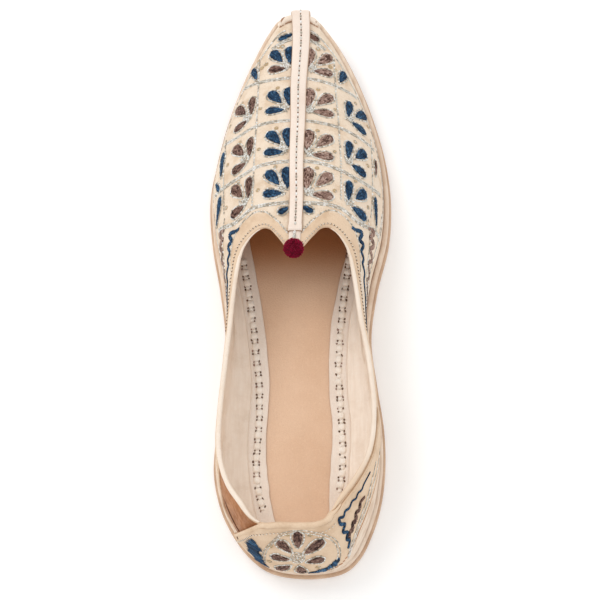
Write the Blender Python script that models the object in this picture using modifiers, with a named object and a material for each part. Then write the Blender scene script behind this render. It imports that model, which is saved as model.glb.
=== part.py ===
"""Mojari, left shoe: a flat slip-on with a pointed upturned toe, a two-arched throat, a centre
strip over the toe and a small pompom. Metres, +Z up, +Y from heel to toe, +X to the inner side."""
import math

import bmesh
import bpy
from mathutils import Vector

# Driving sizes of the shoe.
SOLE_LENGTH = 0.2706
BALL_WIDTH = 0.0850
INSTEP_HEIGHT = 0.0465
TOPLINE_HEIGHT = 0.0370
TOE_SPRING = 0.0170
SPRING_START = 0.0620
HEEL_CENTRE = 0.0400

# Thicknesses, steps and clearances.
OUTSOLE_THICK = 0.0027
MIDSOLE_THICK = 0.0042
OUTSOLE_LIP = 0.0012
RAND_LEDGE = 0.0023
WALL = 0.0018
NOSE_WALL = 0.0010
GAP = 0.0003
INSOLE_THICK = 0.0015
INSOLE_CLEARANCE = 0.0010
INSOLE_TOE_INSET = 0.0110
BORDER_THICK = 0.0008
BORDER_WIDTH = 0.0084
BORDER_INSET = 0.0212
PIPING_RADIUS = 0.0011
PIPING_TIP_RADIUS = 0.0006
RIM_RADIUS = 0.00125
COUNTER_THICK = 0.0014
COUNTER_SKIVED = 0.0007
STRIP_THICK = 0.0012
STRIP_LIFT = 0.0006
STRIP_TOE_WIDTH = 0.0087
STRIP_THROAT_WIDTH = 0.0062
POMPOM_RADIUS = 0.0047
POMPOM_LOCK = 0.0004

HALF_LENGTH = SOLE_LENGTH / 2
HALF_BALL = BALL_WIDTH / 2
SEAT = OUTSOLE_THICK + MIDSOLE_THICK + 2 * GAP
FEATHER_INSET = OUTSOLE_LIP + RAND_LEDGE

# One row for each 10 degrees from the heel's back to the toe's tip, where
# cos(angle) is the place along the sole. half_width and offset are shares of
# half the ball width, crest is a share of the instep height, and the two
# swells are shares of half the ball width.
SECTION_COLUMNS = ("half_width", "offset", "crest", "fullness", "swell_left", "swell_right")
SECTIONS = (
    (0.000, 0.105, 1.29, 1.70, 0.00, 0.00),
    (0.345, 0.098, 1.29, 1.75, 0.01, 0.00),
    (0.550, 0.074, 1.29, 1.98, 0.03, -0.02),
    (0.706, 0.042, 1.29, 2.25, 0.04, -0.04),
    (0.835, 0.016, 1.29, 2.60, 0.04, -0.03),
    (0.902, 0.002, 1.29, 3.10, 0.02, 0.01),
    (0.888, 0.010, 1.29, 3.20, 0.03, 0.03),
    (0.826, 0.004, 1.29, 3.20, 0.04, 0.05),
    (0.786, -0.014, 1.20, 3.15, 0.03, 0.04),
    (0.854, -0.010, 1.02, 2.80, 0.02, 0.01),
    (0.967, 0.007, 0.95, 2.40, 0.035, 0.00),
    (0.998, 0.002, 0.87, 2.25, 0.045, 0.00),
    (0.930, 0.010, 0.74, 2.15, 0.04, 0.00),
    (0.812, 0.006, 0.55, 2.05, 0.03, 0.00),
    (0.664, 0.004, 0.37, 2.00, 0.02, 0.00),
    (0.505, 0.000, 0.23, 2.00, 0.01, 0.00),
    (0.352, -0.010, 0.13, 2.20, 0.00, 0.00),
    (0.212, -0.018, 0.075, 2.40, 0.00, 0.00),
    (0.000, -0.020, 0.06, 2.40, 0.00, 0.00),
)
SECTION_STEP = math.pi / (len(SECTIONS) - 1)

# Height of the wall's edge from the heel's back to the throat, every 10
# degrees, as a share of the topline height.
TOPLINE = (0.932, 0.927, 0.912, 0.880, 0.830, 0.780, 0.776, 0.824, 0.918, 1.000)

# Edge of the two arches from the side to the cusp: the angle on the sole from
# which its line of the vamp starts, in degrees, then the half breadth as a
# share of half the ball width and the place as a share of half the length.
THROAT_COLUMNS = ("start", "breadth", "place")
THROAT = (
    (90, 0.596, 0.000),
    (95, 0.570, 0.030),
    (101, 0.520, 0.059),
    (108, 0.452, 0.072),
    (116, 0.393, 0.085),
    (124, 0.332, 0.089),
    (132, 0.268, 0.081),
    (142, 0.209, 0.060),
    (152, 0.149, 0.036),
    (161, 0.104, 0.014),
    (171, 0.058, -0.007),
    (180, 0.000, -0.018),
)

# Sock border: how far its inner line lies from the sole's edge, every 10
# degrees from the heel's back, as a share of BORDER_INSET.
BORDER_LINE = (0.66, 0.68, 0.77, 0.94, 1.09, 1.14, 1.09, 1.03, 0.88, 0.83, 0.83, 0.85)

REAR_END = math.radians(78)
FRONT_START = math.radians(92)
LOOP_POINTS = 96
WALL_ROWS = 12
PLATE_ROWS = 40
NUDGE = 0.002

LEATHER = (0.80, 0.64, 0.47)
CREAM = (0.84, 0.74, 0.64)
STRIP_CREAM = (0.84, 0.72, 0.63)
TAN_EDGE = (0.43, 0.24, 0.13)
INSOLE_TAN = (0.72, 0.50, 0.34)
CRIMSON = (0.13, 0.0, 0.02)


def clear_scene():
    for thing in list(bpy.data.objects):
        bpy.data.objects.remove(thing, do_unlink=True)


def material(name, colour, roughness):
    made = bpy.data.materials.new(name)
    made.use_nodes = True
    shader = made.node_tree.nodes["Principled BSDF"]
    shader.inputs["Base Color"].default_value = (*colour, 1.0)
    shader.inputs["Roughness"].default_value = roughness
    shader.inputs["Metallic"].default_value = 0.0
    return made


def smooth_row(values, place, odd=False):
    """Value of an evenly spaced row at a place counted in rows, by a cubic through the rows."""
    last = len(values) - 1
    index = min(max(int(math.floor(place)), 0), last - 1)
    share = place - index

    def row(number):
        if 0 <= number <= last:
            return values[number]
        mirrored = -number if number < 0 else 2 * last - number
        return -values[mirrored] if odd else values[mirrored]

    before, start, end, after = row(index - 1), row(index), row(index + 1), row(index + 2)
    slope_in = (end - before) / 2
    slope_out = (after - start) / 2
    square, cube = share ** 2, share ** 3
    return (
        (2 * cube - 3 * square + 1) * start
        + (cube - 2 * square + share) * slope_in
        + (3 * square - 2 * cube) * end
        + (cube - square) * slope_out
    )


def section(angle, name):
    column = SECTION_COLUMNS.index(name)
    values = [row[column] for row in SECTIONS]
    return smooth_row(values, angle / SECTION_STEP, odd=name == "half_width")


def smoothstep(low, high, value):
    share = min(max((value - low) / (high - low), 0.0), 1.0)
    return share * share * (3 - 2 * share)


def spring(y):
    """Rise of the sole at y: flat to the ball, then up to the toe's tip."""
    share = max(y - SPRING_START, 0.0) / (HALF_LENGTH - SPRING_START)
    return TOE_SPRING * share ** 1.9


def loop_side(turn):
    """Angle from the heel and side for a turn round the sole: left side first, then right."""
    turn = turn % (2 * math.pi)
    if turn <= math.pi:
        return turn, -1.0
    return 2 * math.pi - turn, 1.0


def sole_edge(turn):
    angle, side = loop_side(turn)
    x = HALF_BALL * (section(angle, "offset") + side * section(angle, "half_width"))
    return Vector((x, -HALF_LENGTH * math.cos(angle)))


def sole_inset(turn, inset):
    """Point of the sole's outline moved inwards by inset."""
    run = sole_edge(turn + NUDGE) - sole_edge(turn - NUDGE)
    inward = Vector((run.y, -run.x)).normalized()
    return sole_edge(turn) + inward * inset


def angle_at(y):
    return math.acos(min(max(-y / HALF_LENGTH, -1.0), 1.0))


FEATHER_TABLE = [
    [sole_inset(side * math.pi * step / 360, FEATHER_INSET) for step in range(361)]
    for side in (1, -1)
]


def feather_x(y, side):
    """Side edge of the upper at y, read from the inset outline."""
    points = FEATHER_TABLE[0 if side < 0 else 1]
    low, high = 0, len(points) - 1
    if y <= points[low].y:
        return points[low].x
    if y >= points[high].y:
        return points[high].x
    while high - low > 1:
        middle = (low + high) // 2
        if points[middle].y < y:
            low = middle
        else:
            high = middle
    share = (y - points[low].y) / (points[high].y - points[low].y)
    return points[low].x + share * (points[high].x - points[low].x)


def crest_at(angle):
    return INSTEP_HEIGHT * section(angle, "crest")


def swell_at(angle, side, rise):
    """Outward swell of the wall at a rise, which is a share of the crest height."""
    name = "swell_left" if side < 0 else "swell_right"
    return HALF_BALL * section(angle, name) * 4 * rise * (1 - rise)


def vamp_point(x, y, side):
    """Point of the upper's outer face over a place in plan."""
    angle = angle_at(y)
    centre = HALF_BALL * section(angle, "offset")
    reach = feather_x(y, side) - centre
    across = min(abs((x - centre) / reach), 1.0) if abs(reach) > 1e-6 else 0.0
    full = section(angle, "fullness")
    rise = max(1.0 - across ** full, 0.0) ** (1.0 / full)
    out = side * swell_at(angle, side, rise)
    return Vector((x + out, y, SEAT + spring(y) + crest_at(angle) * rise))


def quarter_point(turn, height):
    """Point of the upper's outer face at a height over the seat, on the rib of a turn."""
    angle, side = loop_side(turn)
    base = sole_inset(turn, FEATHER_INSET)
    heel_y = HEEL_CENTRE - HALF_LENGTH
    blend = 0.006
    aim_y = heel_y + blend * math.log1p(math.exp(min((base.y - heel_y) / blend, 50.0)))
    if base.y - heel_y > 10 * blend:
        aim_y = base.y
    aim = Vector((HALF_BALL * section(angle, "offset"), aim_y))
    full = section(angle, "fullness")
    rise = min(height / crest_at(angle), 1.0)
    reach = max(1.0 - rise ** full, 0.0) ** (1.0 / full)
    spoke = base - aim
    out = spoke.normalized() * swell_at(angle, side, rise)
    place = aim + spoke * reach + out
    return Vector((place.x, place.y, SEAT + spring(base.y) + height))


def topline_at(angle):
    place = min(angle / SECTION_STEP, len(TOPLINE) - 1)
    return TOPLINE_HEIGHT * smooth_row(TOPLINE, place)


def throat_edge(angle, side):
    """Edge of the throat's arches in plan, for a line that starts at an angle on the sole."""
    degrees = max(math.degrees(angle), THROAT[0][0])
    index = 0
    while index < len(THROAT) - 2 and THROAT[index + 1][0] < degrees:
        index += 1
    start, end = THROAT[index], THROAT[index + 1]
    before = THROAT[max(index - 1, 0)]
    after = THROAT[min(index + 2, len(THROAT) - 1)]
    share = (degrees - start[0]) / (end[0] - start[0])
    values = []
    for column in (1, 2):
        slope_in = (end[column] - before[column]) / (end[0] - before[0]) * (end[0] - start[0])
        slope_out = (after[column] - start[column]) / (after[0] - start[0]) * (end[0] - start[0])
        if index == len(THROAT) - 2 and column == 1:
            slope_out = end[column] - start[column]
        if index == len(THROAT) - 2 and column == 2:
            slope_out = 0.0
        values.append(
            (2 * share ** 3 - 3 * share ** 2 + 1) * start[column]
            + (share ** 3 - 2 * share ** 2 + share) * slope_in
            + (3 * share ** 2 - 2 * share ** 3) * end[column]
            + (share ** 3 - share ** 2) * slope_out
        )
    y = values[1] * HALF_LENGTH
    centre = HALF_BALL * section(angle_at(y), "offset")
    return Vector((centre + side * values[0] * HALF_BALL, y))


def upper_face(turn, climb):
    """Outer face of the upper: climb runs from 0 at the sole to 1 at the edge of the opening."""
    angle, side = loop_side(turn)
    rear = quarter_point(turn, topline_at(angle) * climb)
    if angle <= REAR_END:
        return rear
    base = sole_inset(turn, FEATHER_INSET)
    edge = throat_edge(angle, side)
    edge_angle = angle_at(edge.y)
    centre = HALF_BALL * section(edge_angle, "offset")
    across = min(abs((edge.x - centre) / (feather_x(edge.y, side) - centre)), 1.0)
    tilt = math.acos(across)
    arc_share = (1 - math.cos(tilt * climb)) / (1 - math.cos(tilt))
    share = arc_share + (smoothstep(0.0, 1.0, climb) - arc_share) * smoothstep(1.0, 1.5, tilt)
    place = base.lerp(edge, share)
    front = vamp_point(place.x, place.y, side)
    return rear.lerp(front, smoothstep(REAR_END, FRONT_START, angle))


def face_normal(turn, climb):
    """Outward normal of the upper's outer face."""
    low, high = max(climb - 0.02, 0.0), min(climb + 0.02, 1.0)
    along = upper_face(turn + 0.02, climb) - upper_face(turn - 0.02, climb)
    rising = upper_face(turn, high) - upper_face(turn, low)
    return rising.cross(along).normalized()


def offset_face(turn, climb, depth):
    """Point at a depth under the upper's outer face, level with it along the sole."""
    point = upper_face(turn, climb)
    normal = face_normal(turn, climb)
    level = Vector((normal.x, normal.y, 0.0))
    if climb < 0.02 and level.length > 1e-6:
        normal = level.normalized()
    return point - normal * depth


def wall_depth(turn):
    angle, _ = loop_side(turn)
    thin = smoothstep(math.radians(150), math.radians(172), angle)
    return WALL + (NOSE_WALL - WALL) * thin


def add_object(name, mesh, look, home):
    made = bpy.data.objects.new(name, mesh)
    mesh.materials.append(look)
    home.objects.link(made)
    return made


def mesh_from_grid(name, rows, close_across, close_along):
    """Closed skin over a grid of points. close_across joins each row's ends, and close_along
    joins the last row to the first, or else flat faces shut both ends."""
    build = bmesh.new()
    grid = [[build.verts.new(point) for point in row] for row in rows]
    count = len(grid[0])
    lines = len(grid) if close_along else len(grid) - 1
    spans = count if close_across else count - 1
    for line in range(lines):
        here, there = grid[line], grid[(line + 1) % len(grid)]
        for span in range(spans):
            follow = (span + 1) % count
            build.faces.new((here[span], here[follow], there[follow], there[span]))
    if not close_along:
        build.faces.new(list(reversed(grid[0])))
        build.faces.new(grid[-1])
    bmesh.ops.recalc_face_normals(build, faces=build.faces)
    mesh = bpy.data.meshes.new(name)
    build.to_mesh(mesh)
    build.free()
    mesh.shade_smooth()
    return mesh


def plate(name, inset_at, bottom, thick, bevel, look, home, reach=math.pi):
    """Sole-shaped plate: a strip of cross rows from heel to toe, extruded straight up."""
    build = bmesh.new()
    pairs = []
    for step in range(PLATE_ROWS + 1):
        angle = reach * step / PLATE_ROWS
        left = sole_inset(angle, inset_at(angle))
        right = sole_inset(-angle, inset_at(angle))
        if step in (0, PLATE_ROWS) and reach == math.pi:
            pairs.append((left,))
        else:
            pairs.append((left, right))
    rows = [
        [build.verts.new((point.x, point.y, bottom + spring(point.y))) for point in pair]
        for pair in pairs
    ]
    for here, there in zip(rows, rows[1:]):
        corners = [here[0], there[0]] + ([there[-1]] if len(there) > 1 else [])
        corners += [here[-1]] if len(here) > 1 else []
        build.faces.new(corners)
    raised = bmesh.ops.extrude_face_region(build, geom=build.faces[:])
    lifted = [item for item in raised["geom"] if isinstance(item, bmesh.types.BMVert)]
    bmesh.ops.translate(build, verts=lifted, vec=(0.0, 0.0, thick))
    bmesh.ops.recalc_face_normals(build, faces=build.faces)
    mesh = bpy.data.meshes.new(name)
    build.to_mesh(mesh)
    build.free()
    made = add_object(name, mesh, look, home)
    rounding = made.modifiers.new("rounded edge", "BEVEL")
    rounding.width = bevel
    rounding.segments = 2
    rounding.limit_method = "ANGLE"
    rounding.angle_limit = math.radians(50)
    return made


def make_upper(look, home):
    """One hollow wall: up the outer face from the sole, over the edge and down the inner face."""
    rows = []
    for step in range(LOOP_POINTS):
        turn = 2 * math.pi * step / LOOP_POINTS
        outer = [upper_face(turn, row / WALL_ROWS) for row in range(WALL_ROWS + 1)]
        depth = wall_depth(turn)
        inner = [offset_face(turn, row / WALL_ROWS, depth) for row in range(WALL_ROWS, -1, -1)]
        rows.append(outer + inner)
    mesh = mesh_from_grid("upper", rows, close_across=True, close_along=True)
    return add_object("upper", mesh, look, home)


def topline_centre(turn, radius):
    """Middle of a round binding that lies on the wall's edge at a turn."""
    edge = offset_face(turn, 1.0, wall_depth(turn) / 2)
    rising = (upper_face(turn, 1.0) - upper_face(turn, 0.96)).normalized()
    return edge + rising * (radius + GAP)


def tube(name, points, radius, shares, look, home):
    data = bpy.data.curves.new(name, "CURVE")
    data.dimensions = "3D"
    data.bevel_depth = radius
    data.bevel_resolution = 2
    data.use_fill_caps = True
    line = data.splines.new("POLY")
    line.points.add(len(points) - 1)
    for knot, point, share in zip(line.points, points, shares):
        knot.co = (*point, 1.0)
        knot.radius = share
    data.materials.append(look)
    made = bpy.data.objects.new(name, data)
    home.objects.link(made)
    return made


PIPING_BACK = {-1: math.radians(25.2), 1: math.radians(14)}
PIPING_FRONT = math.radians(103)
RIM_LEFT = math.radians(24)
RIM_RIGHT = math.radians(12)


def make_piping(name, side, look, home):
    """Bead along one side of the collar, from the arch's shoulder to the heel."""
    count = 34
    points, shares = [], []
    for step in range(count + 1):
        angle = PIPING_BACK[side] + (PIPING_FRONT - PIPING_BACK[side]) * step / count
        turn = angle if side < 0 else -angle
        fade = smoothstep(math.radians(94), PIPING_FRONT, angle)
        share = 1 + (PIPING_TIP_RADIUS / PIPING_RADIUS - 1) * fade
        points.append(topline_centre(turn, PIPING_RADIUS * share))
        shares.append(share)
    return tube(name, points, PIPING_RADIUS, shares, look, home)


def make_rim(look, home):
    """Folded edge of the counter, in the piping's place round the heel's back."""
    count = 16
    points, shares = [], []
    for step in range(count + 1):
        turn = RIM_LEFT - (RIM_LEFT + RIM_RIGHT) * step / count
        points.append(topline_centre(turn, RIM_RADIUS))
        shares.append(1.0)
    return tube("counter_rim", points, RIM_RADIUS, shares, look, home)


COUNTER_LEFT_FOOT = math.radians(34)
COUNTER_LEFT_TOP = math.radians(24)
COUNTER_RIGHT = math.radians(60)
COUNTER_LOW = 0.04
COUNTER_HIGH = 0.98


def make_counter(look, home):
    """Overlay on the heel and the inner quarter, skived thin where it ends under the piping."""
    count, levels = 34, 7
    rows = []
    for step in range(count + 1):
        share = step / count
        outer, inner = [], []
        for level in range(levels + 1):
            climb = COUNTER_LOW + (COUNTER_HIGH - COUNTER_LOW) * level / levels
            left = COUNTER_LEFT_FOOT + (COUNTER_LEFT_TOP - COUNTER_LEFT_FOOT) * climb
            turn = left - (left + COUNTER_RIGHT) * share
            thin = smoothstep(0.45, 1.0, share)
            thick = COUNTER_THICK + (COUNTER_SKIVED - COUNTER_THICK) * thin
            outer.append(offset_face(turn, climb, -GAP - thick))
            inner.append(offset_face(turn, climb, -GAP))
        rows.append(outer + inner[::-1])
    mesh = mesh_from_grid("heel_counter", rows, close_across=True, close_along=False)
    return add_object("heel_counter", mesh, look, home)


def strip_line():
    """Side view of the strip's under face, from the cusp over the toe and down its tip."""
    start = throat_edge(math.pi, 1.0).y + 0.0035
    crest_end = HALF_LENGTH - FEATHER_INSET - 0.0015
    count = 26
    line = []
    for step in range(count + 1):
        y = start + (crest_end - start) * (1 - (1 - step / count) ** 1.3)
        angle = angle_at(y)
        line.append(Vector((y, SEAT + spring(y) + crest_at(angle) + STRIP_LIFT)))
    rand_tip = HALF_LENGTH - OUTSOLE_LIP + GAP
    ledge = SEAT + spring(HALF_LENGTH)
    foot = OUTSOLE_THICK + GAP + spring(rand_tip)
    top = line[-1]
    line.append(Vector(((top.x + 2 * rand_tip) / 3, (top.y + ledge) / 2 + 0.0007)))
    line.append(Vector((rand_tip, ledge - 0.0002)))
    line.append(Vector((rand_tip, (ledge + foot) / 2)))
    line.append(Vector((rand_tip, foot)))
    return line


def strip_half_width(y):
    share = smoothstep(0.0, HALF_LENGTH, y)
    return (STRIP_THROAT_WIDTH + (STRIP_TOE_WIDTH - STRIP_THROAT_WIDTH) * share) / 2


def make_strip(look, home):
    """Strap on the vamp's crest, bent over the toe's tip, with a section that hugs the vamp."""
    line = strip_line()
    fractions = (-1.0, -0.5, 0.0, 0.5, 1.0)
    rows = []
    for index, point in enumerate(line):
        here = line[max(index - 1, 0)]
        there = line[min(index + 1, len(line) - 1)]
        run = (there - here).normalized()
        away = Vector((0.0, -run.y, run.x))
        half = strip_half_width(point.x)
        angle = angle_at(min(point.x, HALF_LENGTH - FEATHER_INSET))
        centre = HALF_BALL * section(angle, "offset")
        lower, upper = [], []
        for fraction in fractions:
            x = centre + half * fraction
            sag = 0.0
            if point.x < HALF_LENGTH - 4 * FEATHER_INSET:
                side = 1.0 if fraction > 0 else -1.0
                crest = SEAT + spring(point.x) + crest_at(angle)
                sag = crest - vamp_point(x, point.x, side).z
            spot = Vector((x, point.x, point.y - sag))
            lower.append(spot)
            upper.append(spot + away * STRIP_THICK)
        rows.append(lower + upper[::-1])
    mesh = mesh_from_grid("centre_strip", rows, close_across=True, close_along=False)
    return add_object("centre_strip", mesh, look, home)


def make_border(look, home):
    """Sock border: a flat strip round the insole, from under the vamp on one side to the other."""
    reach = math.radians(108)
    count = 44
    low = SEAT + INSOLE_THICK + GAP
    rows = []
    for step in range(count + 1):
        turn = -reach + 2 * reach * step / count
        inset = BORDER_INSET * smooth_row(BORDER_LINE, abs(turn) / SECTION_STEP)
        inner = sole_inset(turn, inset)
        outer = sole_inset(turn, inset - BORDER_WIDTH)
        corners = ((inner, low), (outer, low), (outer, low + BORDER_THICK), (inner, low + BORDER_THICK))
        rows.append([Vector((spot.x, spot.y, z)) for spot, z in corners])
    mesh = mesh_from_grid("sock_border", rows, close_across=True, close_along=False)
    return add_object("sock_border", mesh, look, home)


def make_pompom(look, home):
    """Felt ball with shallow locks, on the strip's end at the cusp."""
    flat = 0.86
    tip = throat_edge(math.pi, 1.0)
    angle = angle_at(tip.y)
    crest = SEAT + crest_at(angle)
    centre = Vector((tip.x, tip.y, crest + GAP + POMPOM_RADIUS * flat))
    build = bmesh.new()
    bmesh.ops.create_uvsphere(build, u_segments=20, v_segments=12, radius=POMPOM_RADIUS)
    for vert in build.verts:
        around = math.atan2(vert.co.y, vert.co.x)
        lift = POMPOM_LOCK * math.cos(10 * around) * math.cos(vert.co.z / POMPOM_RADIUS * 9)
        vert.co = vert.co.normalized() * (POMPOM_RADIUS - POMPOM_LOCK + lift)
        vert.co.z *= flat
    mesh = bpy.data.meshes.new("pompom")
    build.to_mesh(mesh)
    build.free()
    mesh.shade_smooth()
    made = add_object("pompom", mesh, look, home)
    made.location = centre
    return made


def main():
    clear_scene()
    home = bpy.data.collections.new("mojari_left_shoe")
    bpy.context.scene.collection.children.link(home)
    leather = material("sand leather", LEATHER, 0.62)
    cream = material("cream leather", CREAM, 0.55)
    tan = material("tan sole leather", TAN_EDGE, 0.6)
    strip = material("strip leather", STRIP_CREAM, 0.6)
    sock = material("insole leather", INSOLE_TAN, 0.6)
    felt = material("crimson felt", CRIMSON, 0.95)

    plate("outsole", lambda angle: 0.0, 0.0, OUTSOLE_THICK, 0.0006, tan, home)
    plate("midsole", lambda angle: OUTSOLE_LIP, OUTSOLE_THICK + GAP, MIDSOLE_THICK, 0.0012, cream, home)
    make_upper(leather, home)
    make_counter(leather, home)
    make_rim(leather, home)
    make_piping("topline_piping_left", -1, cream, home)
    make_piping("topline_piping_right", 1, cream, home)
    make_strip(strip, home)

    def insole_inset(angle):
        toe = smoothstep(math.radians(110), math.pi, angle)
        return FEATHER_INSET + WALL + INSOLE_CLEARANCE + (INSOLE_TOE_INSET - INSOLE_CLEARANCE) * toe

    plate("insole", insole_inset, SEAT, INSOLE_THICK, 0.0004, sock, home, reach=math.radians(152))
    make_border(cream, home)
    make_pompom(felt, home)


main()
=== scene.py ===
"""Looks of the mojari, left shoe: leathers, chain-stitch embroidery, laced sock border, pompom.

Lengths are in millimetres in the charts and in metres elsewhere. +Y runs from heel to toe and +X
to the inner side. A turn goes round the sole from the heel's back, left side first, and a climb
goes up the upper's face from the sole at 0 to the edge of the opening at 1.
"""

import math
import random
from functools import lru_cache

import bmesh
import bpy
import numpy as np
from mathutils import Matrix, Vector
from mathutils.bvhtree import BVHTree


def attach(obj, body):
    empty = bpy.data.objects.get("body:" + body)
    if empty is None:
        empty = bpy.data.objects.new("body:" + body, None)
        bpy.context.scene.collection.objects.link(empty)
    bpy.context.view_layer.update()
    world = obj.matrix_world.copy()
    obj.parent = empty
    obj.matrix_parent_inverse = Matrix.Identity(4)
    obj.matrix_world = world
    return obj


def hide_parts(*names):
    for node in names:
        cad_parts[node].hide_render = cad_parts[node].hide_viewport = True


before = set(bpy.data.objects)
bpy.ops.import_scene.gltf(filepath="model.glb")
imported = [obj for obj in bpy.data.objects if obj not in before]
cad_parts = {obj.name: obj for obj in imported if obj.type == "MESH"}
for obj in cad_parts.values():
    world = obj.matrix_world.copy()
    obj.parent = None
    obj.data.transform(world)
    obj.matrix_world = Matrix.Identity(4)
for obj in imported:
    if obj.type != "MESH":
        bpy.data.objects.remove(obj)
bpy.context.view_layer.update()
draw = random.Random(7)

# Sizes that the frame was made from, in metres.
SOLE_LENGTH = 0.2706
BALL_WIDTH = 0.0850
INSTEP_HEIGHT = 0.0465
TOPLINE_HEIGHT = 0.0370
TOE_SPRING = 0.0170
SPRING_START = 0.0620
HEEL_CENTRE = 0.0400
OUTSOLE_THICK = 0.0027
MIDSOLE_THICK = 0.0042
OUTSOLE_LIP = 0.0012
RAND_LEDGE = 0.0023
WALL = 0.0018
NOSE_WALL = 0.0010
GAP = 0.0003
INSOLE_THICK = 0.0015
INSOLE_CLEARANCE = 0.0010
INSOLE_TOE_INSET = 0.0110
BORDER_THICK = 0.0008
BORDER_WIDTH = 0.0084
BORDER_INSET = 0.0212
PIPING_RADIUS = 0.0011
PIPING_TIP_RADIUS = 0.0006
RIM_RADIUS = 0.00125
COUNTER_THICK = 0.0014
COUNTER_SKIVED = 0.0007
STRIP_THICK = 0.0012
STRIP_LIFT = 0.0006
STRIP_TOE_WIDTH = 0.0087
POMPOM_RADIUS = 0.0047
POMPOM_FLAT = 0.86

HALF_LENGTH = SOLE_LENGTH / 2
HALF_BALL = BALL_WIDTH / 2
SEAT = OUTSOLE_THICK + MIDSOLE_THICK + 2 * GAP
FEATHER_INSET = OUTSOLE_LIP + RAND_LEDGE
MM = 0.001

SECTION_NAMES = ("half_width", "offset", "crest", "fullness", "swell_left", "swell_right")
SECTIONS = (
    (0.000, 0.105, 1.29, 1.70, 0.00, 0.00),
    (0.345, 0.098, 1.29, 1.75, 0.01, 0.00),
    (0.550, 0.074, 1.29, 1.98, 0.03, -0.02),
    (0.706, 0.042, 1.29, 2.25, 0.04, -0.04),
    (0.835, 0.016, 1.29, 2.60, 0.04, -0.03),
    (0.902, 0.002, 1.29, 3.10, 0.02, 0.01),
    (0.888, 0.010, 1.29, 3.20, 0.03, 0.03),
    (0.826, 0.004, 1.29, 3.20, 0.04, 0.05),
    (0.786, -0.014, 1.20, 3.15, 0.03, 0.04),
    (0.854, -0.010, 1.02, 2.80, 0.02, 0.01),
    (0.967, 0.007, 0.95, 2.40, 0.035, 0.00),
    (0.998, 0.002, 0.87, 2.25, 0.045, 0.00),
    (0.930, 0.010, 0.74, 2.15, 0.04, 0.00),
    (0.812, 0.006, 0.55, 2.05, 0.03, 0.00),
    (0.664, 0.004, 0.37, 2.00, 0.02, 0.00),
    (0.505, 0.000, 0.23, 2.00, 0.01, 0.00),
    (0.352, -0.010, 0.13, 2.20, 0.00, 0.00),
    (0.212, -0.018, 0.075, 2.40, 0.00, 0.00),
    (0.000, -0.020, 0.06, 2.40, 0.00, 0.00),
)
SECTION_STEP = math.pi / (len(SECTIONS) - 1)
COLUMNS = {name: [row[place] for row in SECTIONS] for place, name in enumerate(SECTION_NAMES)}
TOPLINE = (0.932, 0.927, 0.912, 0.880, 0.830, 0.780, 0.776, 0.824, 0.918, 1.000)
THROAT = (
    (90, 0.596, 0.000),
    (95, 0.568, 0.028),
    (101, 0.512, 0.054),
    (108, 0.455, 0.072),
    (116, 0.394, 0.0845),
    (124, 0.332, 0.089),
    (132, 0.268, 0.081),
    (142, 0.209, 0.060),
    (152, 0.149, 0.036),
    (161, 0.104, 0.014),
    (171, 0.058, -0.007),
    (180, 0.000, -0.018),
)
BORDER_LINE = (0.66, 0.68, 0.77, 0.94, 1.09, 1.14, 1.09, 1.03, 0.88, 0.83, 0.83, 0.85)
REAR_END = math.radians(78)
FRONT_START = math.radians(92)
NUDGE = 0.002


# The shoe's own surfaces, as in the frame.
def ease(start, end, slope_in, slope_out, share):
    """Cubic from a start to an end with a slope at each."""
    square, cube = share ** 2, share ** 3
    return (
        start * (2 * cube - 3 * square + 1)
        + slope_in * (cube - 2 * square + share)
        + end * (3 * square - 2 * cube)
        + slope_out * (cube - square)
    )


def smooth_row(values, place, odd=False):
    """Value of an evenly spaced row at a place counted in rows, by a cubic through the rows."""
    last = len(values) - 1
    index = min(max(int(math.floor(place)), 0), last - 1)
    share = place - index

    def row(number):
        if 0 <= number <= last:
            return values[number]
        mirrored = -number if number < 0 else 2 * last - number
        return -values[mirrored] if odd else values[mirrored]

    before, start, end, after = row(index - 1), row(index), row(index + 1), row(index + 2)
    return ease(start, end, (end - before) / 2, (after - start) / 2, share)


@lru_cache(maxsize=200000)
def section(angle, name):
    """Value of a named column of the sections at an angle round the sole, 0 at the heel's back."""
    return smooth_row(COLUMNS[name], angle / SECTION_STEP, odd=name == "half_width")


def smoothstep(low, high, value):
    share = min(max((value - low) / (high - low), 0.0), 1.0)
    return share * share * (3 - 2 * share)


def spring(y):
    share = max(y - SPRING_START, 0.0) / (HALF_LENGTH - SPRING_START)
    return TOE_SPRING * share ** 1.9


def loop_side(turn):
    """Angle from the heel's back, 0 to half a turn, and the side: -1 outer, 1 inner."""
    turn = turn % (2 * math.pi)
    if turn <= math.pi:
        return turn, -1.0
    return 2 * math.pi - turn, 1.0


def sole_edge(turn):
    angle, side = loop_side(turn)
    x = HALF_BALL * (section(angle, "offset") + side * section(angle, "half_width"))
    return Vector((x, -HALF_LENGTH * math.cos(angle)))


@lru_cache(maxsize=200000)
def sole_inset(turn, inset):
    run = sole_edge(turn + NUDGE) - sole_edge(turn - NUDGE)
    inward = Vector((run.y, -run.x)).normalized()
    return sole_edge(turn) + inward * inset


def angle_at(y):
    return math.acos(min(max(-y / HALF_LENGTH, -1.0), 1.0))


FEATHER_LINES = {
    side: np.array([sole_inset(-side * math.pi * step / 360, FEATHER_INSET) for step in range(361)])
    for side in (-1.0, 1.0)
}


def feather_x(y, side):
    line = FEATHER_LINES[side]
    return float(np.interp(y, line[:, 1], line[:, 0]))


def crest_at(angle):
    return INSTEP_HEIGHT * section(angle, "crest")


def swell_at(angle, side, rise):
    name = "swell_left" if side < 0 else "swell_right"
    return HALF_BALL * section(angle, name) * 4 * rise * (1 - rise)


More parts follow.
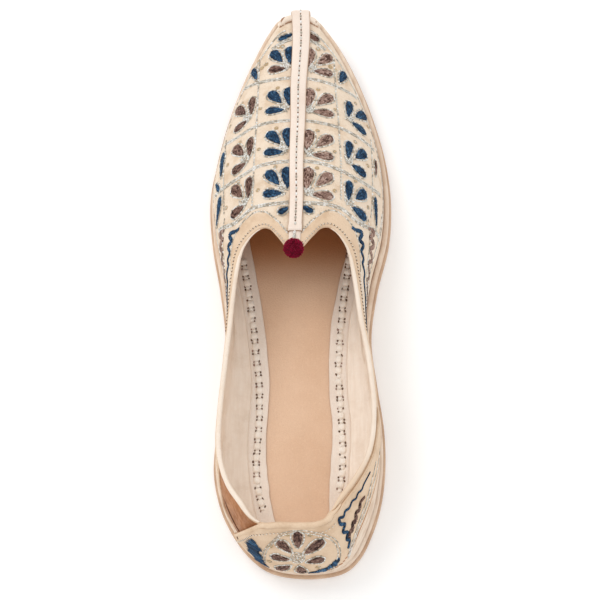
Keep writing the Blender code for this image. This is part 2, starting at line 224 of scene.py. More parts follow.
def vamp_point(x, y, side):
    """Point of the vamp's rounded form over a place in plan."""
    angle = angle_at(y)
    centre = HALF_BALL * section(angle, "offset")
    reach = feather_x(y, side) - centre
    across = min(abs((x - centre) / reach), 1.0) if abs(reach) > 1e-6 else 0.0
    full = section(angle, "fullness")
    rise = max(1.0 - across ** full, 0.0) ** (1.0 / full)
    out = side * swell_at(angle, side, rise)
    return Vector((x + out, y, SEAT + spring(y) + crest_at(angle) * rise))


def quarter_point(turn, height):
    """Point of the quarters' form at a turn and a height above the sole's seat."""
    angle, side = loop_side(turn)
    base = sole_inset(turn, FEATHER_INSET)
    heel_y = HEEL_CENTRE - HALF_LENGTH
    blend = 0.006
    aim_y = heel_y + blend * math.log1p(math.exp(min((base.y - heel_y) / blend, 50.0)))
    if base.y - heel_y > 10 * blend:
        aim_y = base.y
    aim = Vector((HALF_BALL * section(angle, "offset"), aim_y))
    full = section(angle, "fullness")
    rise = min(height / crest_at(angle), 1.0)
    reach = max(1.0 - rise ** full, 0.0) ** (1.0 / full)
    spoke = base - aim
    out = spoke.normalized() * swell_at(angle, side, rise)
    place = aim + spoke * reach + out
    return Vector((place.x, place.y, SEAT + spring(base.y) + height))


def topline_at(angle):
    return TOPLINE_HEIGHT * smooth_row(TOPLINE, min(angle / SECTION_STEP, len(TOPLINE) - 1))


@lru_cache(maxsize=20000)
def throat_edge(angle, side):
    """Place in plan of the arch's edge that ends the rib at an angle."""
    degrees = max(math.degrees(angle), THROAT[0][0])
    index = 0
    while index < len(THROAT) - 2 and THROAT[index + 1][0] < degrees:
        index += 1
    start, end = THROAT[index], THROAT[index + 1]
    before = THROAT[max(index - 1, 0)]
    after = THROAT[min(index + 2, len(THROAT) - 1)]
    span = end[0] - start[0]
    share = (degrees - start[0]) / span
    values = []
    for column in (1, 2):
        slope_in = (end[column] - before[column]) / (end[0] - before[0]) * span
        slope_out = (after[column] - start[column]) / (after[0] - start[0]) * span
        if index == len(THROAT) - 2:
            slope_out = end[column] - start[column] if column == 1 else 0.0
        values.append(ease(start[column], end[column], slope_in, slope_out, share))
    y = values[1] * HALF_LENGTH
    centre = HALF_BALL * section(angle_at(y), "offset")
    return Vector((centre + side * values[0] * HALF_BALL, y))


def corner_lean(turn):
    """Inward lean of the opening's edge at its rear corners, outward where it is negative."""
    angle, side = loop_side(turn)
    degrees = math.degrees(angle)
    if side > 0:
        return 4.0 * MM * smoothstep(2, 19, degrees) * smoothstep(62, 24, degrees)
    return -1.8 * MM * smoothstep(9, 20, degrees) * smoothstep(34, 22, degrees)


def heel_bulge(turn, climb):
    """Swell of the heel over the rand, at the back and on the outer side."""
    degrees = math.degrees(math.atan2(math.sin(turn), math.cos(turn)))
    around = smoothstep(-26, -4, degrees) * smoothstep(54, 30, degrees)
    return 2.0 * MM * around * (1 - climb ** 2) * (0.5 + 0.5 * smoothstep(0.0, 0.2, climb))


def upper_face(turn, climb):
    """Point of the upper's outer face, where the quarters' form goes over into the vamp's."""
    angle, side = loop_side(turn)
    rear = quarter_point(turn, topline_at(angle) * climb)
    outward = (sole_inset(turn, 0.0) - sole_inset(turn, FEATHER_INSET)).normalized()
    shift = heel_bulge(turn, climb) - corner_lean(turn) * climb ** 1.5
    rear += Vector((outward.x, outward.y, 0.0)) * shift
    if angle <= REAR_END:
        return rear
    base = sole_inset(turn, FEATHER_INSET)
    edge = throat_edge(angle, side)
    edge_angle = angle_at(edge.y)
    centre = HALF_BALL * section(edge_angle, "offset")
    across = min(abs((edge.x - centre) / (feather_x(edge.y, side) - centre)), 1.0)
    tilt = math.acos(across)
    arc_share = (1 - math.cos(tilt * climb)) / (1 - math.cos(tilt))
    share = arc_share + (smoothstep(0.0, 1.0, climb) - arc_share) * smoothstep(1.0, 1.5, tilt)
    place = base.lerp(edge, share)
    front = vamp_point(place.x, place.y, side)
    seat = SEAT + spring(front.y)
    front.z = seat + (front.z - seat) * smoothstep(0.0, 0.04, climb)
    return rear.lerp(front, smoothstep(REAR_END, FRONT_START, angle))


def face_normal(turn, climb):
    low, high = max(climb - 0.02, 0.0), min(climb + 0.02, 1.0)
    along = upper_face(turn + 0.02, climb) - upper_face(turn - 0.02, climb)
    rising = upper_face(turn, high) - upper_face(turn, low)
    return rising.cross(along).normalized()


def offset_face(turn, climb, depth):
    """Point at a depth under the upper's outer face, level with it along the sole."""
    point = upper_face(turn, climb)
    normal = face_normal(turn, climb)
    level = Vector((normal.x, normal.y, 0.0))
    if climb < 0.02 and level.length > 1e-6:
        normal = level.normalized()
    return point - normal * depth


def wall_depth(turn):
    angle, _ = loop_side(turn)
    thin = smoothstep(math.radians(150), math.radians(172), angle)
    return WALL + (NOSE_WALL - WALL) * thin


# Colours and finishes.
def tone(red, green, blue):
    """Screen colour, 0 to 255, as the shader's own linear values."""
    shares = [value / 255 for value in (red, green, blue)]
    linear = [v / 12.92 if v <= 0.04045 else ((v + 0.055) / 1.055) ** 2.4 for v in shares]
    return (*linear, 1.0)


def new_group(name, inputs, outputs):
    group = bpy.data.node_groups.new(name, "ShaderNodeTree")
    for label, kind, value in inputs:
        socket = group.interface.new_socket(label, in_out="INPUT", socket_type=kind)
        if value is not None:
            socket.default_value = value
    for label, kind in outputs:
        group.interface.new_socket(label, in_out="OUTPUT", socket_type=kind)
    return group, group.nodes.new("NodeGroupInput"), group.nodes.new("NodeGroupOutput")


def noise(nodes, links, vector, scale, detail, rough=0.55):
    made = nodes.new("ShaderNodeTexNoise")
    made.inputs["Detail"].default_value = detail
    made.inputs["Roughness"].default_value = rough
    links.new(vector, made.inputs["Vector"])
    if isinstance(scale, (int, float)):
        made.inputs["Scale"].default_value = scale
    else:
        links.new(scale, made.inputs["Scale"])
    return made.outputs["Fac"]


def spread(nodes, links, value, low, high, to_low=0.0, to_high=1.0):
    made = nodes.new("ShaderNodeMapRange")
    made.interpolation_type = "SMOOTHSTEP"
    for label, number in (("From Min", low), ("From Max", high), ("To Min", to_low), ("To Max", to_high)):
        made.inputs[label].default_value = number
    links.new(value, made.inputs["Value"])
    return made.outputs["Result"]


def mix_colours(nodes, links, share, first, second):
    made = nodes.new("ShaderNodeMix")
    made.data_type = "RGBA"
    for value, socket in ((share, made.inputs[0]), (first, made.inputs[6]), (second, made.inputs[7])):
        if isinstance(value, (tuple, float, int)):
            socket.default_value = value
        else:
            links.new(value, socket)
    return made.outputs[2]


def calculate(nodes, links, operation, *values):
    made = nodes.new("ShaderNodeMath")
    made.operation = operation
    for socket, value in zip(made.inputs, values):
        if isinstance(value, (int, float)):
            socket.default_value = value
        else:
            links.new(value, socket)
    return made.outputs[0]


def make_tanning_group():
    """Cloudy dye: three tones of one leather, mixed by broad and by fine noise."""
    group, given, result = new_group(
        "dye_clouds",
        [
            ("Vector", "NodeSocketVector", None),
            ("Tone", "NodeSocketColor", (0.8, 0.6, 0.4, 1.0)),
            ("Dark tone", "NodeSocketColor", (0.6, 0.4, 0.3, 1.0)),
            ("Light tone", "NodeSocketColor", (0.9, 0.8, 0.7, 1.0)),
            ("Cloud scale", "NodeSocketFloat", 60.0),
            ("Fleck scale", "NodeSocketFloat", 900.0),
            ("Depth", "NodeSocketFloat", 0.55),
        ],
        [("Color", "NodeSocketColor"), ("Cloud", "NodeSocketFloat")],
    )
    nodes, links = group.nodes, group.links
    vector = given.outputs["Vector"]
    cloud = noise(nodes, links, vector, given.outputs["Cloud scale"], 4.0, 0.6)
    fleck = noise(nodes, links, vector, given.outputs["Fleck scale"], 2.0)
    clouded = spread(nodes, links, cloud, 0.42, 0.72)
    dark = calculate(nodes, links, "MULTIPLY", clouded, given.outputs["Depth"])
    light = spread(nodes, links, fleck, 0.5, 0.75, 0.0, 0.35)
    shaded = mix_colours(nodes, links, dark, given.outputs["Tone"], given.outputs["Dark tone"])
    flecked = mix_colours(nodes, links, light, shaded, given.outputs["Light tone"])
    links.new(flecked, result.inputs["Color"])
    links.new(cloud, result.inputs["Cloud"])
    return group


def make_grain_group():
    """Leather grain: rounded pebbles with pores between them, over soft pulls of the hide."""
    group, given, result = new_group(
        "hide_grain",
        [
            ("Vector", "NodeSocketVector", None),
            ("Pebble scale", "NodeSocketFloat", 1600.0),
            ("Pull scale", "NodeSocketFloat", 120.0),
            ("Pull share", "NodeSocketFloat", 0.5),
        ],
        [("Height", "NodeSocketFloat"), ("Pores", "NodeSocketFloat")],
    )
    nodes, links = group.nodes, group.links
    vector = given.outputs["Vector"]
    cells = nodes.new("ShaderNodeTexVoronoi")
    cells.feature = "SMOOTH_F1"
    cells.inputs["Smoothness"].default_value = 0.6
    links.new(vector, cells.inputs["Vector"])
    links.new(given.outputs["Pebble scale"], cells.inputs["Scale"])
    pebble = spread(nodes, links, cells.outputs["Distance"], 0.1, 0.75, 1.0, 0.0)
    pull = noise(nodes, links, vector, given.outputs["Pull scale"], 5.0, 0.65)
    pulled = calculate(nodes, links, "MULTIPLY", pull, given.outputs["Pull share"])
    height = calculate(nodes, links, "ADD", pebble, pulled)
    pores = spread(nodes, links, cells.outputs["Distance"], 0.55, 0.85)
    links.new(height, result.inputs["Height"])
    links.new(pores, result.inputs["Pores"])
    return group


def make_streak_group():
    """Fine streaks that run one way, as on a burnished edge or along a twisted thread."""
    group, given, result = new_group(
        "fine_streaks",
        [
            ("Vector", "NodeSocketVector", None),
            ("Stretch", "NodeSocketVector", (1.0, 1.0, 1.0)),
            ("Scale", "NodeSocketFloat", 800.0),
        ],
        [("Streak", "NodeSocketFloat")],
    )
    nodes, links = group.nodes, group.links
    stretched = nodes.new("ShaderNodeVectorMath")
    stretched.operation = "MULTIPLY"
    links.new(given.outputs["Vector"], stretched.inputs[0])
    links.new(given.outputs["Stretch"], stretched.inputs[1])
    streak = noise(nodes, links, stretched.outputs[0], given.outputs["Scale"], 3.0, 0.6)
    links.new(spread(nodes, links, streak, 0.3, 0.7), result.inputs["Streak"])
    return group


DYE_CLOUDS = make_tanning_group()
HIDE_GRAIN = make_grain_group()
FINE_STREAKS = make_streak_group()


def place_group(nodes, links, group, vector, **values):
    made = nodes.new("ShaderNodeGroup")
    made.node_tree = group
    links.new(vector, made.inputs["Vector"])
    for label, value in values.items():
        made.inputs[label.replace("_", " ")].default_value = value
    return made


def start_finish(name):
    made = bpy.data.materials.new(name)
    made.use_nodes = True
    nodes, links = made.node_tree.nodes, made.node_tree.links
    shader = nodes["Principled BSDF"]
    where = nodes.new("ShaderNodeTexCoord")
    return made, nodes, links, shader, where.outputs["Object"]


def bump(nodes, links, shader, height, depth):
    made = nodes.new("ShaderNodeBump")
    made.inputs["Strength"].default_value = 1.0
    made.inputs["Distance"].default_value = depth
    links.new(height, made.inputs["Height"])
    links.new(made.outputs["Normal"], shader.inputs["Normal"])


# Colour of the painted shade under the vamp, where the insole, border and lining lie in shadow.
VAMP_SHADE_TONE = tone(183, 122, 78)


def paint_vamp_shade(nodes, links, where, colour, shade):
    """Painted shade under the vamp: leather darkens towards the toe between two places along the shoe, by a
    share at most.
    """
    if shade is None:
        return colour
    parts = nodes.new("ShaderNodeSeparateXYZ")
    links.new(where, parts.inputs["Vector"])
    share = spread(nodes, links, parts.outputs["Y"], shade[0], shade[1], 0.0, shade[2])
    return mix_colours(nodes, links, share, colour, VAMP_SHADE_TONE)


def place_dye(nodes, links, where, colours, **values):
    """Cloudy dye from a plain, a dark and a light screen colour."""
    plain, dark, light = (tone(*colour) for colour in colours)
    return place_group(
        nodes, links, DYE_CLOUDS, where, Tone=plain, Dark_tone=dark, Light_tone=light, **values,
    )


def leather(
    name, *colours, pebble=1500.0, depth=0.00006, rough=(0.5, 0.7), cloud=55.0, deep=0.55, shade=None,
):
    """Leather with cloudy dye, grain and slightly darker pores."""
    made, nodes, links, shader, where = start_finish(name)
    dye = place_dye(nodes, links, where, colours, Cloud_scale=cloud, Depth=deep)
    grain = place_group(nodes, links, HIDE_GRAIN, where, Pebble_scale=pebble)
    pores = calculate(nodes, links, "MULTIPLY", grain.outputs["Pores"], 0.3)
    colour = mix_colours(nodes, links, pores, dye.outputs["Color"], tone(*colours[1]))
    colour = paint_vamp_shade(nodes, links, where, colour, shade)
    links.new(colour, shader.inputs["Base Color"])
    links.new(spread(nodes, links, dye.outputs["Cloud"], 0.3, 0.7, *rough), shader.inputs["Roughness"])
    shader.inputs["Specular IOR Level"].default_value = 0.35
    bump(nodes, links, shader, grain.outputs["Height"], depth)
    return made


def fading_leather(name, fade, rear, *colours):
    """Leather whose dye fades from the heel forward between two places along the shoe."""
    made, nodes, links, shader, where = start_finish(name)
    parts = nodes.new("ShaderNodeSeparateXYZ")
    links.new(where, parts.inputs["Vector"])
    dye = place_dye(nodes, links, where, colours, Cloud_scale=55.0)
    faded = spread(nodes, links, parts.outputs["Y"], *fade)
    colour = mix_colours(nodes, links, faded, tone(*rear), dye.outputs["Color"])
    links.new(colour, shader.inputs["Base Color"])
    links.new(spread(nodes, links, dye.outputs["Cloud"], 0.3, 0.7, 0.5, 0.7), shader.inputs["Roughness"])
    grain = place_group(nodes, links, HIDE_GRAIN, where, Pebble_scale=1400.0)
    bump(nodes, links, shader, grain.outputs["Height"], 0.00006)
    return made


def streaked(name, colours, clouds, streaks, share, rough, specular, depth, shade=None):
    """Cloudy dye under fine dark streaks, from the values of both groups and the streaks' share."""
    made, nodes, links, shader, where = start_finish(name)
    dye = place_dye(nodes, links, where, colours, **clouds)
    streak = place_group(nodes, links, FINE_STREAKS, where, **streaks).outputs["Streak"]
    amount = calculate(nodes, links, "MULTIPLY", streak, share)
    colour = mix_colours(nodes, links, amount, dye.outputs["Color"], tone(*colours[1]))
    links.new(paint_vamp_shade(nodes, links, where, colour, shade), shader.inputs["Base Color"])
    links.new(spread(nodes, links, streak, 0.0, 1.0, *rough), shader.inputs["Roughness"])
    shader.inputs["Specular IOR Level"].default_value = specular
    bump(nodes, links, shader, streak, depth)
    return made


def streaked_leather(name, *colours, stretch, rough=(0.45, 0.65), share=0.5, shade=None):
    """Cut or burnished leather with streaks that run along the shoe."""
    clouds, streaks = {"Cloud_scale": 90.0}, {"Stretch": stretch, "Scale": 700.0}
    return streaked(name, colours, clouds, streaks, share, rough, 0.35, 0.00004, shade)


def thread(name, *colours, rough=0.75):
    """Twisted embroidery thread: dye that shifts from stitch to stitch and fine fibres."""
    clouds, streaks = {"Cloud_scale": 420.0, "Fleck_scale": 1500.0}, {"Scale": 3500.0}
    return streaked(name, colours, clouds, streaks, 0.35, (rough - 0.1, rough + 0.1), 0.25, 0.00008)


# Each finish has its plain, dark and light colour, as the screen shows them from 0 to 255.
SAND = leather(
    "sand_vamp_leather", (234, 215, 193), (208, 178, 145), (242, 226, 208),
    rough=(0.6, 0.8), depth=0.00012, cloud=130.0, deep=0.7,
)
COLLAR = leather(
    "sand_collar_leather", (226, 199, 170), (204, 172, 140), (236, 213, 188),
    pebble=2100.0, rough=(0.65, 0.8), cloud=90.0, deep=0.8,
)
# The lining darkens towards the toe with painted shade under the vamp.
LINING = streaked_leather(
    "beige_lining", (247, 233, 218), (226, 206, 186), (251, 241, 230),
    stretch=(1.0, 0.1, 1.0), rough=(0.55, 0.7), share=0.3, shade=(0.004, 0.026, 0.6),
)
CREAM = leather("cream_leather", (240, 224, 207), (226, 204, 182), (247, 235, 222), pebble=1400.0)
# The border darkens towards the toe with painted shade under the vamp.
BORDER = leather(
    "border_leather", (240, 227, 214), (226, 209, 194), (247, 237, 227),
    pebble=1400.0, shade=(0.004, 0.028, 0.5),
)
STRIP = leather(
    "strip_leather", (239, 223, 209), (228, 206, 189), (246, 233, 222), pebble=2200.0, depth=0.00004,
)
# The insole darkens towards the toe with painted shade under the vamp.
INSOLE = leather(
    "tan_insole_leather", (228, 193, 163), (214, 175, 143), (237, 206, 178),
    pebble=1700.0, cloud=22.0, rough=(0.5, 0.68), shade=(-0.002, 0.024, 1.0),
)
BARE = streaked_leather(
    "bare_brown_leather", (180, 118, 66), (134, 80, 42), (198, 140, 88), stretch=(1.0, 0.25, 0.6),
)
# Dark brown of the fold in the bare leather: painted shadow along the fold.
FOLD_SHADOW = streaked_leather(
    "bare_leather_fold_shadow", (104, 62, 34), (70, 42, 22), (126, 80, 48), stretch=(1.0, 0.25, 0.6),
)
LACE = leather("lace_leather", (246, 237, 226), (234, 220, 204), (251, 244, 236), pebble=1800.0)
RAND = streaked_leather(
    "cream_rand_leather", (236, 217, 197), (205, 174, 146), (244, 230, 214),
    stretch=(0.6, 0.1, 1.0), share=0.6,
)
SOLE_EDGE = streaked_leather(
    "tan_sole_leather", (214, 182, 153), (178, 140, 110), (230, 203, 178), stretch=(0.3, 0.08, 1.0),
)
# Brown edge colour: real edge dye on the counter's and upper's feet, the rand and the strip's ends; painted
# shadow on the border's inner edge and in the toe ears.
EDGE_DYE_AND_SHADOW = streaked_leather(
    "brown_edge_dye_and_painted_shadow", (182, 140, 110), (140, 98, 70), (202, 164, 136), stretch=(0.3, 0.08, 1.0),
)
# The dark shade of each coloured thread is painted shade in the gaps between stitches, and the light shade
# is a painted highlight.
BLUE = thread("indigo_thread", (38, 72, 104), (24, 50, 76), (58, 96, 130))
BLUE_PAINTED_SHADE = thread("indigo_thread_painted_shade", (24, 47, 70), (15, 32, 50), (38, 68, 96))
BLUE_PAINTED_LIGHT = thread("indigo_thread_painted_light", (70, 110, 144), (46, 82, 114), (100, 138, 168))
BROWN = thread("brown_thread", (128, 96, 84), (94, 68, 58), (152, 120, 106))
BROWN_PAINTED_SHADE = thread("brown_thread_painted_shade", (74, 50, 44), (48, 32, 28), (96, 70, 60))
BROWN_PAINTED_LIGHT = thread("brown_thread_painted_light", (162, 130, 116), (132, 102, 90), (188, 158, 144))
MAUVE = thread("mauve_brown_thread", (168, 136, 122), (130, 100, 88), (190, 160, 146))
MAUVE_PAINTED_SHADE = thread("mauve_brown_thread_painted_shade", (106, 78, 68), (74, 52, 45), (130, 100, 88))
MAUVE_PAINTED_LIGHT = thread("mauve_brown_thread_painted_light", (200, 172, 158), (172, 142, 128), (218, 194, 182))
# In the silver thread the glint colour is a painted highlight and the dull grey colour is painted shade
# within the thread.
SILVER = thread("silver_thread", (226, 223, 215), (200, 195, 184), (244, 242, 237), rough=0.45)
GLINT = thread("silver_thread_glint", (252, 251, 248), (236, 233, 226), (254, 254, 253), rough=0.3)
SILVER_SHADE = thread("silver_thread_painted_shade", (184, 175, 160), (152, 142, 126), (208, 200, 187), rough=0.5)
RING_THREAD = thread("ring_thread", (214, 188, 150), (182, 154, 118), (232, 212, 182), rough=0.5)
# Dark colour that stands for painted shade in the prick holes, the lacing's slits and the strip's stitch
# dips.
HOLE_SHADE_THREAD = thread("painted_hole_shade_thread", (124, 96, 76), (82, 60, 46), (156, 128, 108))
CREAM_THREAD = thread("cream_seam_thread", (240, 228, 212), (214, 196, 174), (250, 244, 234))
WOOL = thread("crimson_wool", (176, 4, 56), (116, 0, 34), (200, 30, 84), rough=0.95)
FADING = fading_leather(
    "cream_leather_to_sand", (-0.112, -0.078), (226, 199, 170),
    (240, 224, 207), (226, 204, 182), (240, 224, 207),
)
WOOL_DEEP = thread("crimson_wool_deep", (104, 2, 32), (64, 0, 18), (138, 10, 46), rough=0.95)
WOOL_LIGHT = thread("crimson_wool_light", (194, 36, 86), (146, 10, 52), (220, 82, 122), rough=0.95)


# Mesh helpers.
def new_piece(name, points, faces, looks, replaced=(), face_looks=None):
    """Mesh object that rides on the shoe, from points in metres and faces by point number."""
    mesh = bpy.data.meshes.new(name)
    mesh.from_pydata([tuple(point) for point in points], [], faces)
    for look in looks if isinstance(looks, (list, tuple)) else [looks]:
        mesh.materials.append(look)
    if face_looks is not None:
        mesh.polygons.foreach_set("material_index", np.asarray(face_looks, dtype=np.int32))
    mesh.validate()
    mesh.shade_smooth()
    made = bpy.data.objects.new(name, mesh)
    bpy.context.scene.collection.objects.link(made)
    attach(made, "root")
    if replaced:
        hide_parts(*replaced)
    return made


def grid_faces(rows, columns, close_rows=False, close_columns=False, start=0, flip=False):
    """Quads of a grid that is stored row by row."""
    faces = []
    for row in range(rows if close_rows else rows - 1):
        here = start + row * columns
        there = start + ((row + 1) % rows) * columns
        for column in range(columns if close_columns else columns - 1):
            after = (column + 1) % columns
            quad = (here + column, here + after, there + after, there + column)
            faces.append(quad[::-1] if flip else quad)
    return faces


def loft(rows, close_rows=False, flip=False):
    """Closed tube over rows of points, with flat ends where the rows don't close."""
    columns = len(rows[0])
    points = [point for row in rows for point in row]
    faces = grid_faces(len(rows), columns, close_rows, close_columns=True, flip=flip)
    if not close_rows:
        first = tuple(range(columns))
        last = tuple(range(len(points) - columns, len(points)))
        faces.append(first if flip else first[::-1])
        faces.append(last[::-1] if flip else last)
    return points, faces


def round_tube(line, radii, sides=16):
    """Closed round tube along a line of points."""
    rows = []
    for index, point in enumerate(line):
        run = (line[min(index + 1, len(line) - 1)] - line[max(index - 1, 0)]).normalized()
        across = run.cross(Vector((0, 0, 1)))
        across = across.normalized() if across.length > 1e-6 else Vector((1, 0, 0))
        over = across.cross(run).normalized()
        rows.append([
            point + (across * math.cos(a) + over * math.sin(a)) * radii[index]
            for a in (2 * math.pi * side / sides for side in range(sides))
        ])
    return loft(rows)


def add_mesh(points, faces, more, quads):
    """Joins the points and faces of one mesh to those of another."""
    start = len(points)
    points += more
    faces += [tuple(index + start for index in face) for face in quads]


# The upper's skin as a fine net of points.
TURNS = 480
CLIMBS = 64
LIP_STEPS = 6
LINING_STEPS = 26
BAND_RAISE = 0.35 * MM
LENS_SINK = 0.5 * MM
FOOT_DROP = 0.7 * MM
LIP_ROUND = 0.3
LINING_FOLD = 0.16 * MM
TURN_LIST = [2 * math.pi * step / TURNS for step in range(TURNS)]


def net_normals(net):
    along = np.roll(net, -1, axis=0) - np.roll(net, 1, axis=0)
    rising = np.gradient(net, axis=1)
    normal = np.cross(rising, along)
    return normal / np.linalg.norm(normal, axis=2, keepdims=True)


def edge_distances(net):
    """Distance of each point of the net from the edge of the opening, along its rib."""
    steps = np.linalg.norm(np.diff(net, axis=1), axis=2)
    total = np.cumsum(steps[:, ::-1], axis=1)[:, ::-1]
    return np.concatenate([total, np.zeros((len(net), 1))], axis=1)


def band_width(turn):
    """Width of the plain collar band: broad at the arches, narrow along the sides."""
    angle, _ = loop_side(turn)
    degrees = math.degrees(angle)
    return (5.2 + 2.5 * smoothstep(84, 106, degrees)) * MM


def lens_foot(turn):
    """Lower climb of the bare leather on the outer rear quarter, over 1 where there is none."""
    angle, side = loop_side(turn)
    degrees = math.degrees(angle)
    if side > 0 or not 19 < degrees < 47.5:
        return 2.0
    return 0.04 + 0.94 * smoothstep(30, 47.5, degrees) ** 1.2


def soft_ridges(turn, climb, pull):
    """Slight waves of hand-sewn leather."""
    return pull * (
        math.sin(23 * turn + 5 * climb) * 0.4
        + math.sin(41 * turn - 9 * climb + 1.3) * 0.35
        + math.sin(11 * turn + 17 * climb + 0.4) * 0.5
    )


def relief(distances):
    """Outward step of the skin at each point of the net."""
    raised = np.zeros(distances.shape)
    for row, turn in enumerate(TURN_LIST):
        width = band_width(turn)
        foot = lens_foot(turn)
        for column in range(CLIMBS + 1):
            climb = column / CLIMBS
            away = distances[row, column]
            step = BAND_RAISE * smoothstep(width + 0.5 * MM, width - 0.2 * MM, away)
            step *= smoothstep(0.0, 1.2 * MM, away)
            calm = smoothstep(0.0, 0.15, climb) * smoothstep(0, 3 * MM, away)
            wave = soft_ridges(turn, climb, 0.07 * MM) * calm
            sunk = LENS_SINK * smoothstep(foot - 0.03, foot + 0.03, climb) if foot < 1.5 else 0.0
            raised[row, column] = wave - sunk if sunk else wave + step
    return raised


def net_of_upper():
    """Points of the bare form, the same with its relief, their normals, and how far from the edge."""
    bare = np.array([
        [upper_face(turn, column / CLIMBS) for column in range(CLIMBS + 1)] for turn in TURN_LIST
    ])
    normals = net_normals(bare)
    distances = edge_distances(bare)
    shaped = bare + normals * relief(distances)[..., None]
    return bare, shaped, normals, distances


BARE_NET, SKIN_NET, SKIN_NORMALS, EDGE_DISTANCES = net_of_upper()


def rib_lip(row, depth):
    """Rounded lip over the wall's edge on one rib, from outside to inside."""
    normal = Vector(SKIN_NORMALS[row, CLIMBS])
    top = Vector(BARE_NET[row, CLIMBS])
    rising = Vector(BARE_NET[row, CLIMBS] - BARE_NET[row, CLIMBS - 3]).normalized()
    lip = []
    for step in range(1, LIP_STEPS):
        swing = math.pi * step / LIP_STEPS
        across = normal * depth * (1 - math.cos(swing)) / 2
        lip.append(top - across + rising * LIP_ROUND * depth * math.sin(swing))
    return lip


def lining_fold(turn, climb):
    """Depth of the lining's slight upright folds, which are in the quarters alone."""
    angle, _ = loop_side(turn)
    quarters = 1 - smoothstep(math.radians(70), math.radians(100), angle)
    ripple = math.sin(57 * turn + 3 * climb) + 0.6 * math.sin(91 * turn + 2)
    return LINING_FOLD * quarters * ripple * math.sin(math.pi * climb) ** 0.5


def rib_lining(row, turn, depth):
    """Lining of one rib, from the edge of the opening down to the sole."""
    lining = [Vector(BARE_NET[row, CLIMBS]) - Vector(SKIN_NORMALS[row, CLIMBS]) * depth]
    for step in range(1, LINING_STEPS + 1):
        climb = 1 - step / LINING_STEPS
        low = min(int(climb * CLIMBS), CLIMBS - 1)
        share = climb * CLIMBS - low
        point, normal = (
            Vector(net[row, low] * (1 - share) + net[row, low + 1] * share)
            for net in (BARE_NET, SKIN_NORMALS)
        )
        level = Vector((normal.x, normal.y, 0.0))
        if climb < 0.05 and level.length > 1e-6:
            normal = level
        lining.append(point - normal.normalized() * (depth + lining_fold(turn, climb)))
    return lining


def rib_looks(row, turn):
    """Looks up one rib, over the lip and down the lining: 0 sand, 1 collar, 2 lining, 3 bare, 4 dyed."""
    foot = lens_foot(turn)
    looks = []
    for column in range(CLIMBS):
        away = (EDGE_DISTANCES[row, column] + EDGE_DISTANCES[row, column + 1]) / 2
        if (column + 0.5) / CLIMBS > foot:
            looks.append(3)
        elif column == 0:
            looks.append(4)
        else:
            looks.append(1 if away < band_width(turn) else 0)
    return looks + [1] * (LIP_STEPS - 1) + [2] * (LINING_STEPS + 2)


def make_upper():
    """Outer face, rounded lip and lining as one closed wall."""
    rows, looks = [], []
    for row, turn in enumerate(TURN_LIST):
        depth = wall_depth(turn)
        outer = [Vector(point) for point in SKIN_NET[row]]
        lining = rib_lining(row, turn, depth)
        outer[0].z -= FOOT_DROP
        lining[-1].z -= FOOT_DROP
        rows.append(outer + rib_lip(row, depth) + lining)
        looks += rib_looks(row, turn)
    points, faces = loft(rows, close_rows=True)
    finishes = [SAND, COLLAR, LINING, BARE, EDGE_DYE_AND_SHADOW]
    new_piece("upper_leather", points, faces, finishes, ("upper",), looks)


# The heel counter and the skin that the stitches lie on.
COUNTER_LEFT_FOOT = math.radians(30.5)
COUNTER_LEFT_TOP = math.radians(22)
COUNTER_CORNER = math.radians(3)
COUNTER_RIGHT = math.radians(60)
COUNTER_LOW = 0.04
COUNTER_HIGH = 0.995
COUNTER_COUNT = 150
COUNTER_LEVELS = 30
HEM_RAISE = 0.2 * MM


def counter_turn(share, climb):
    """Turn at a share of the way from the counter's free end to its skived end."""
    left = COUNTER_LEFT_FOOT + (COUNTER_LEFT_TOP - COUNTER_LEFT_FOOT) * climb - COUNTER_CORNER * climb ** 5
    return left - (left + COUNTER_RIGHT) * share


def counter_climb(level):
    """Climb of a level of the counter, with the levels closer together near its foot."""
    return COUNTER_LOW + (COUNTER_HIGH - COUNTER_LOW) * (level / COUNTER_LEVELS) ** 1.15


def counter_rows():
    """Rows of the counter from its free end on the outer side to its skived end."""
    rows = []
    for step in range(COUNTER_COUNT + 1):
        share = step / COUNTER_COUNT
        outer, inner = [], []
        for level in range(COUNTER_LEVELS + 1):
            climb = counter_climb(level)
            turn = counter_turn(share, climb)
            thick = COUNTER_THICK + (COUNTER_SKIVED - COUNTER_THICK) * smoothstep(0.45, 1.0, share)
            from_side = min(share, 1 - share) * COUNTER_COUNT / 2.5
            edge = min(from_side, level / 1.6 + 0.2, 1.0)
            round_off = math.sqrt(max(1 - (1 - edge) ** 2, 0.0))
            from_end = math.degrees(counter_turn(0.0, climb) - turn)
            hem = HEM_RAISE * smoothstep(3.4, 2.7, from_end) * round_off
            wave = soft_ridges(turn, climb, 0.05 * MM) * edge
            outer.append(offset_face(turn, climb, -GAP - thick * (0.35 + 0.65 * round_off) - hem - wave))
            inner.append(offset_face(turn, climb, -GAP * 0.5))
        rows.append(outer + inner[::-1])
    return rows


COUNTER_ROWS = counter_rows()


def skin_tree():
    """Outer face of the upper and of the counter, for laying stitches on."""
    points = [Vector(point) for row in SKIN_NET for point in row]
    faces = grid_faces(TURNS, CLIMBS + 1, close_rows=True)
    start = len(points)
    for row in COUNTER_ROWS:
        points += row[:COUNTER_LEVELS + 1]
    faces += grid_faces(len(COUNTER_ROWS), COUNTER_LEVELS + 1, start=start)
    return BVHTree.FromPolygons(points, faces)


SKIN = skin_tree()
REACH = 0.006


